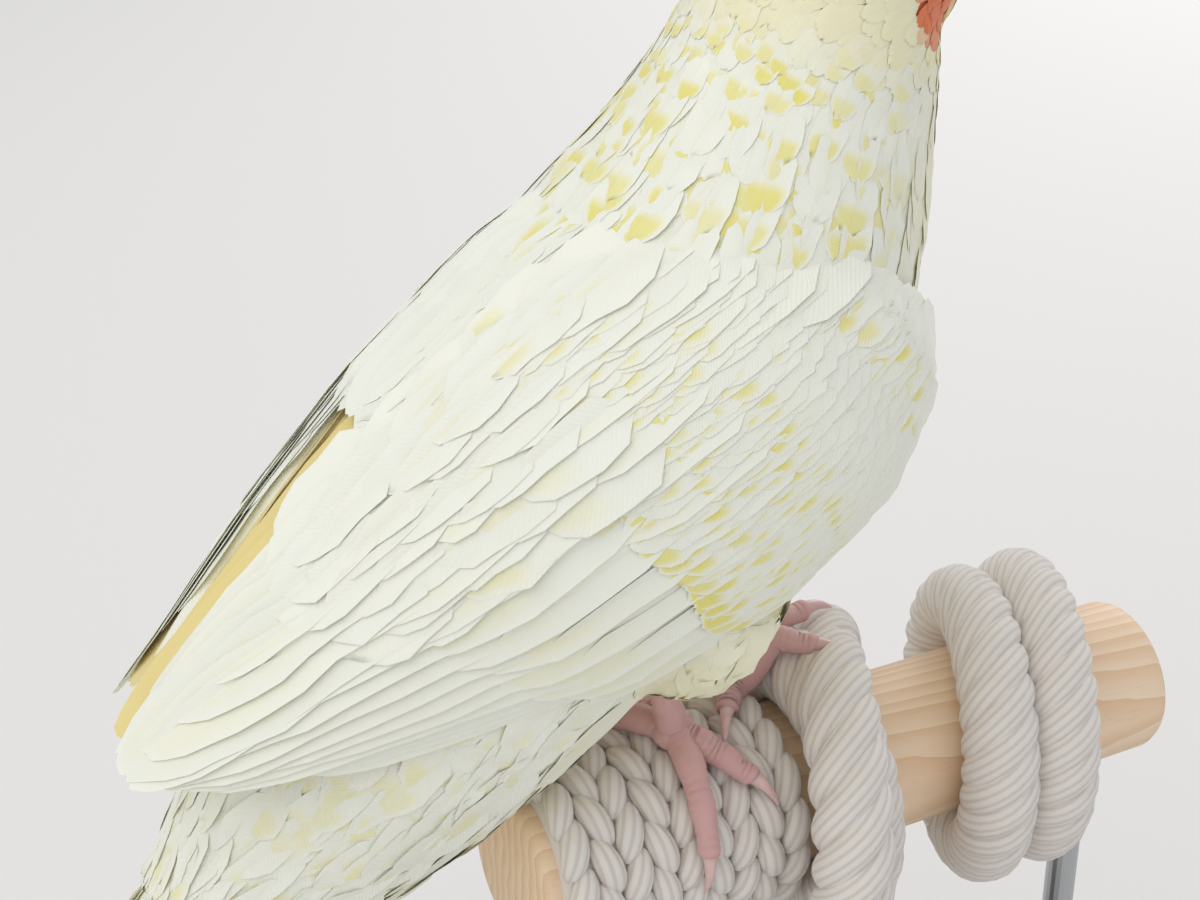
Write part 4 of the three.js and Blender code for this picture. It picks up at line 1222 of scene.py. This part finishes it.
def standMaterials():
    slate = Finish("dark lacquer")
    grain = slate.noise(900, 3)
    slate.set(Base_Color=slate.mix(grain, shade(58, 56, 54), shade(70, 68, 66)), Roughness=grain * 0.2 + 0.3)
    slate.bump(grain, 0.1, 0.0001)
    steel = Finish("brushed rod")
    lines = steel.noise(1.0, 2, steel.stretched((4000, 4000, 60)))
    steel.set(Base_Color=shade(178, 180, 182), Metallic=1.0, Roughness=lines * 0.25 + 0.2)
    return slate.material, steel.material


slate, steel = standMaterials()
for name, object in nodes.items():
    if name.startswith("stand_"):
        object.data.materials.clear()
        object.data.materials.append(slate if name == "stand_base" else steel)


# Camera, floor and light
view = {"focal": 2250, "heading": 23.5, "pitch": 27, "at": (-131.5, -251.4, 327.9)}
h, e = view["heading"] * rad, view["pitch"] * rad
right = Vector((math.cos(h), -math.sin(h), 0))
upward = Vector((math.sin(h) * math.sin(e), math.cos(h) * math.sin(e), math.cos(e)))
forward = right.cross(upward) * -1
cameraData = bpy.data.cameras.new("camera")
cameraData.sensor_width = 36
cameraData.lens = view["focal"] * 36 / 1200
cameraData.clip_start = 0.01
camera = linked("camera", cameraData)
turned = Matrix((right, upward, -forward)).transposed().to_4x4()
camera.matrix_world = Matrix.Translation(Vector(view["at"]) * mm) @ turned
bpy.context.scene.camera = camera


def makeFloor():
    look = Finish("pale floor")
    look.set(Base_Color=shade(232, 230, 226), Roughness=0.9)
    mesh = bpy.data.meshes.new("floor")
    corners = [(x * 6.0, y * 6.0, 0) for x, y in ((-1, -1), (1, -1), (1, 1), (-1, 1))]
    mesh.from_pydata(corners, [], [(0, 1, 2, 3)])
    mesh.materials.append(look.material)
    linked("floor", mesh)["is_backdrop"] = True


def makeLight(name, spot, aim, size, power, color):
    data = bpy.data.lights.new(name, "AREA")
    data.size = size
    data.energy = power
    data.color = color
    light = linked(name, data)
    light.location = spot
    light.rotation_euler = (Vector(aim) - Vector(spot)).to_track_quat("-Z", "Y").to_euler()


makeFloor()
makeLight("key", (-0.8, -0.2, 1.3), (0, 0, 0.18), 2.0, 13, (1, 0.98, 0.95))
makeLight("fill", (0.3, -1.3, 0.7), (0, 0, 0.16), 1.2, 1.6, (0.96, 0.97, 1))
makeLight("rim", (1.0, 0.9, 0.8), (0, 0, 0.18), 0.8, 7, (1, 0.98, 0.96))
world = bpy.data.worlds.new("studio")
world.use_nodes = True
world.node_tree.nodes["Background"].inputs[0].default_value = (0.9, 0.93, 1, 1)
world.node_tree.nodes["Background"].inputs[1].default_value = 0.55
bpy.context.scene.world = world
bpy.context.scene.view_settings.view_transform = "Standard"

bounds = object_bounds()
listed = lambda pair: [[float(x) for x in corner] for corner in pair]
{"cad": listed(cadBounds), "visual": listed(bounds)}
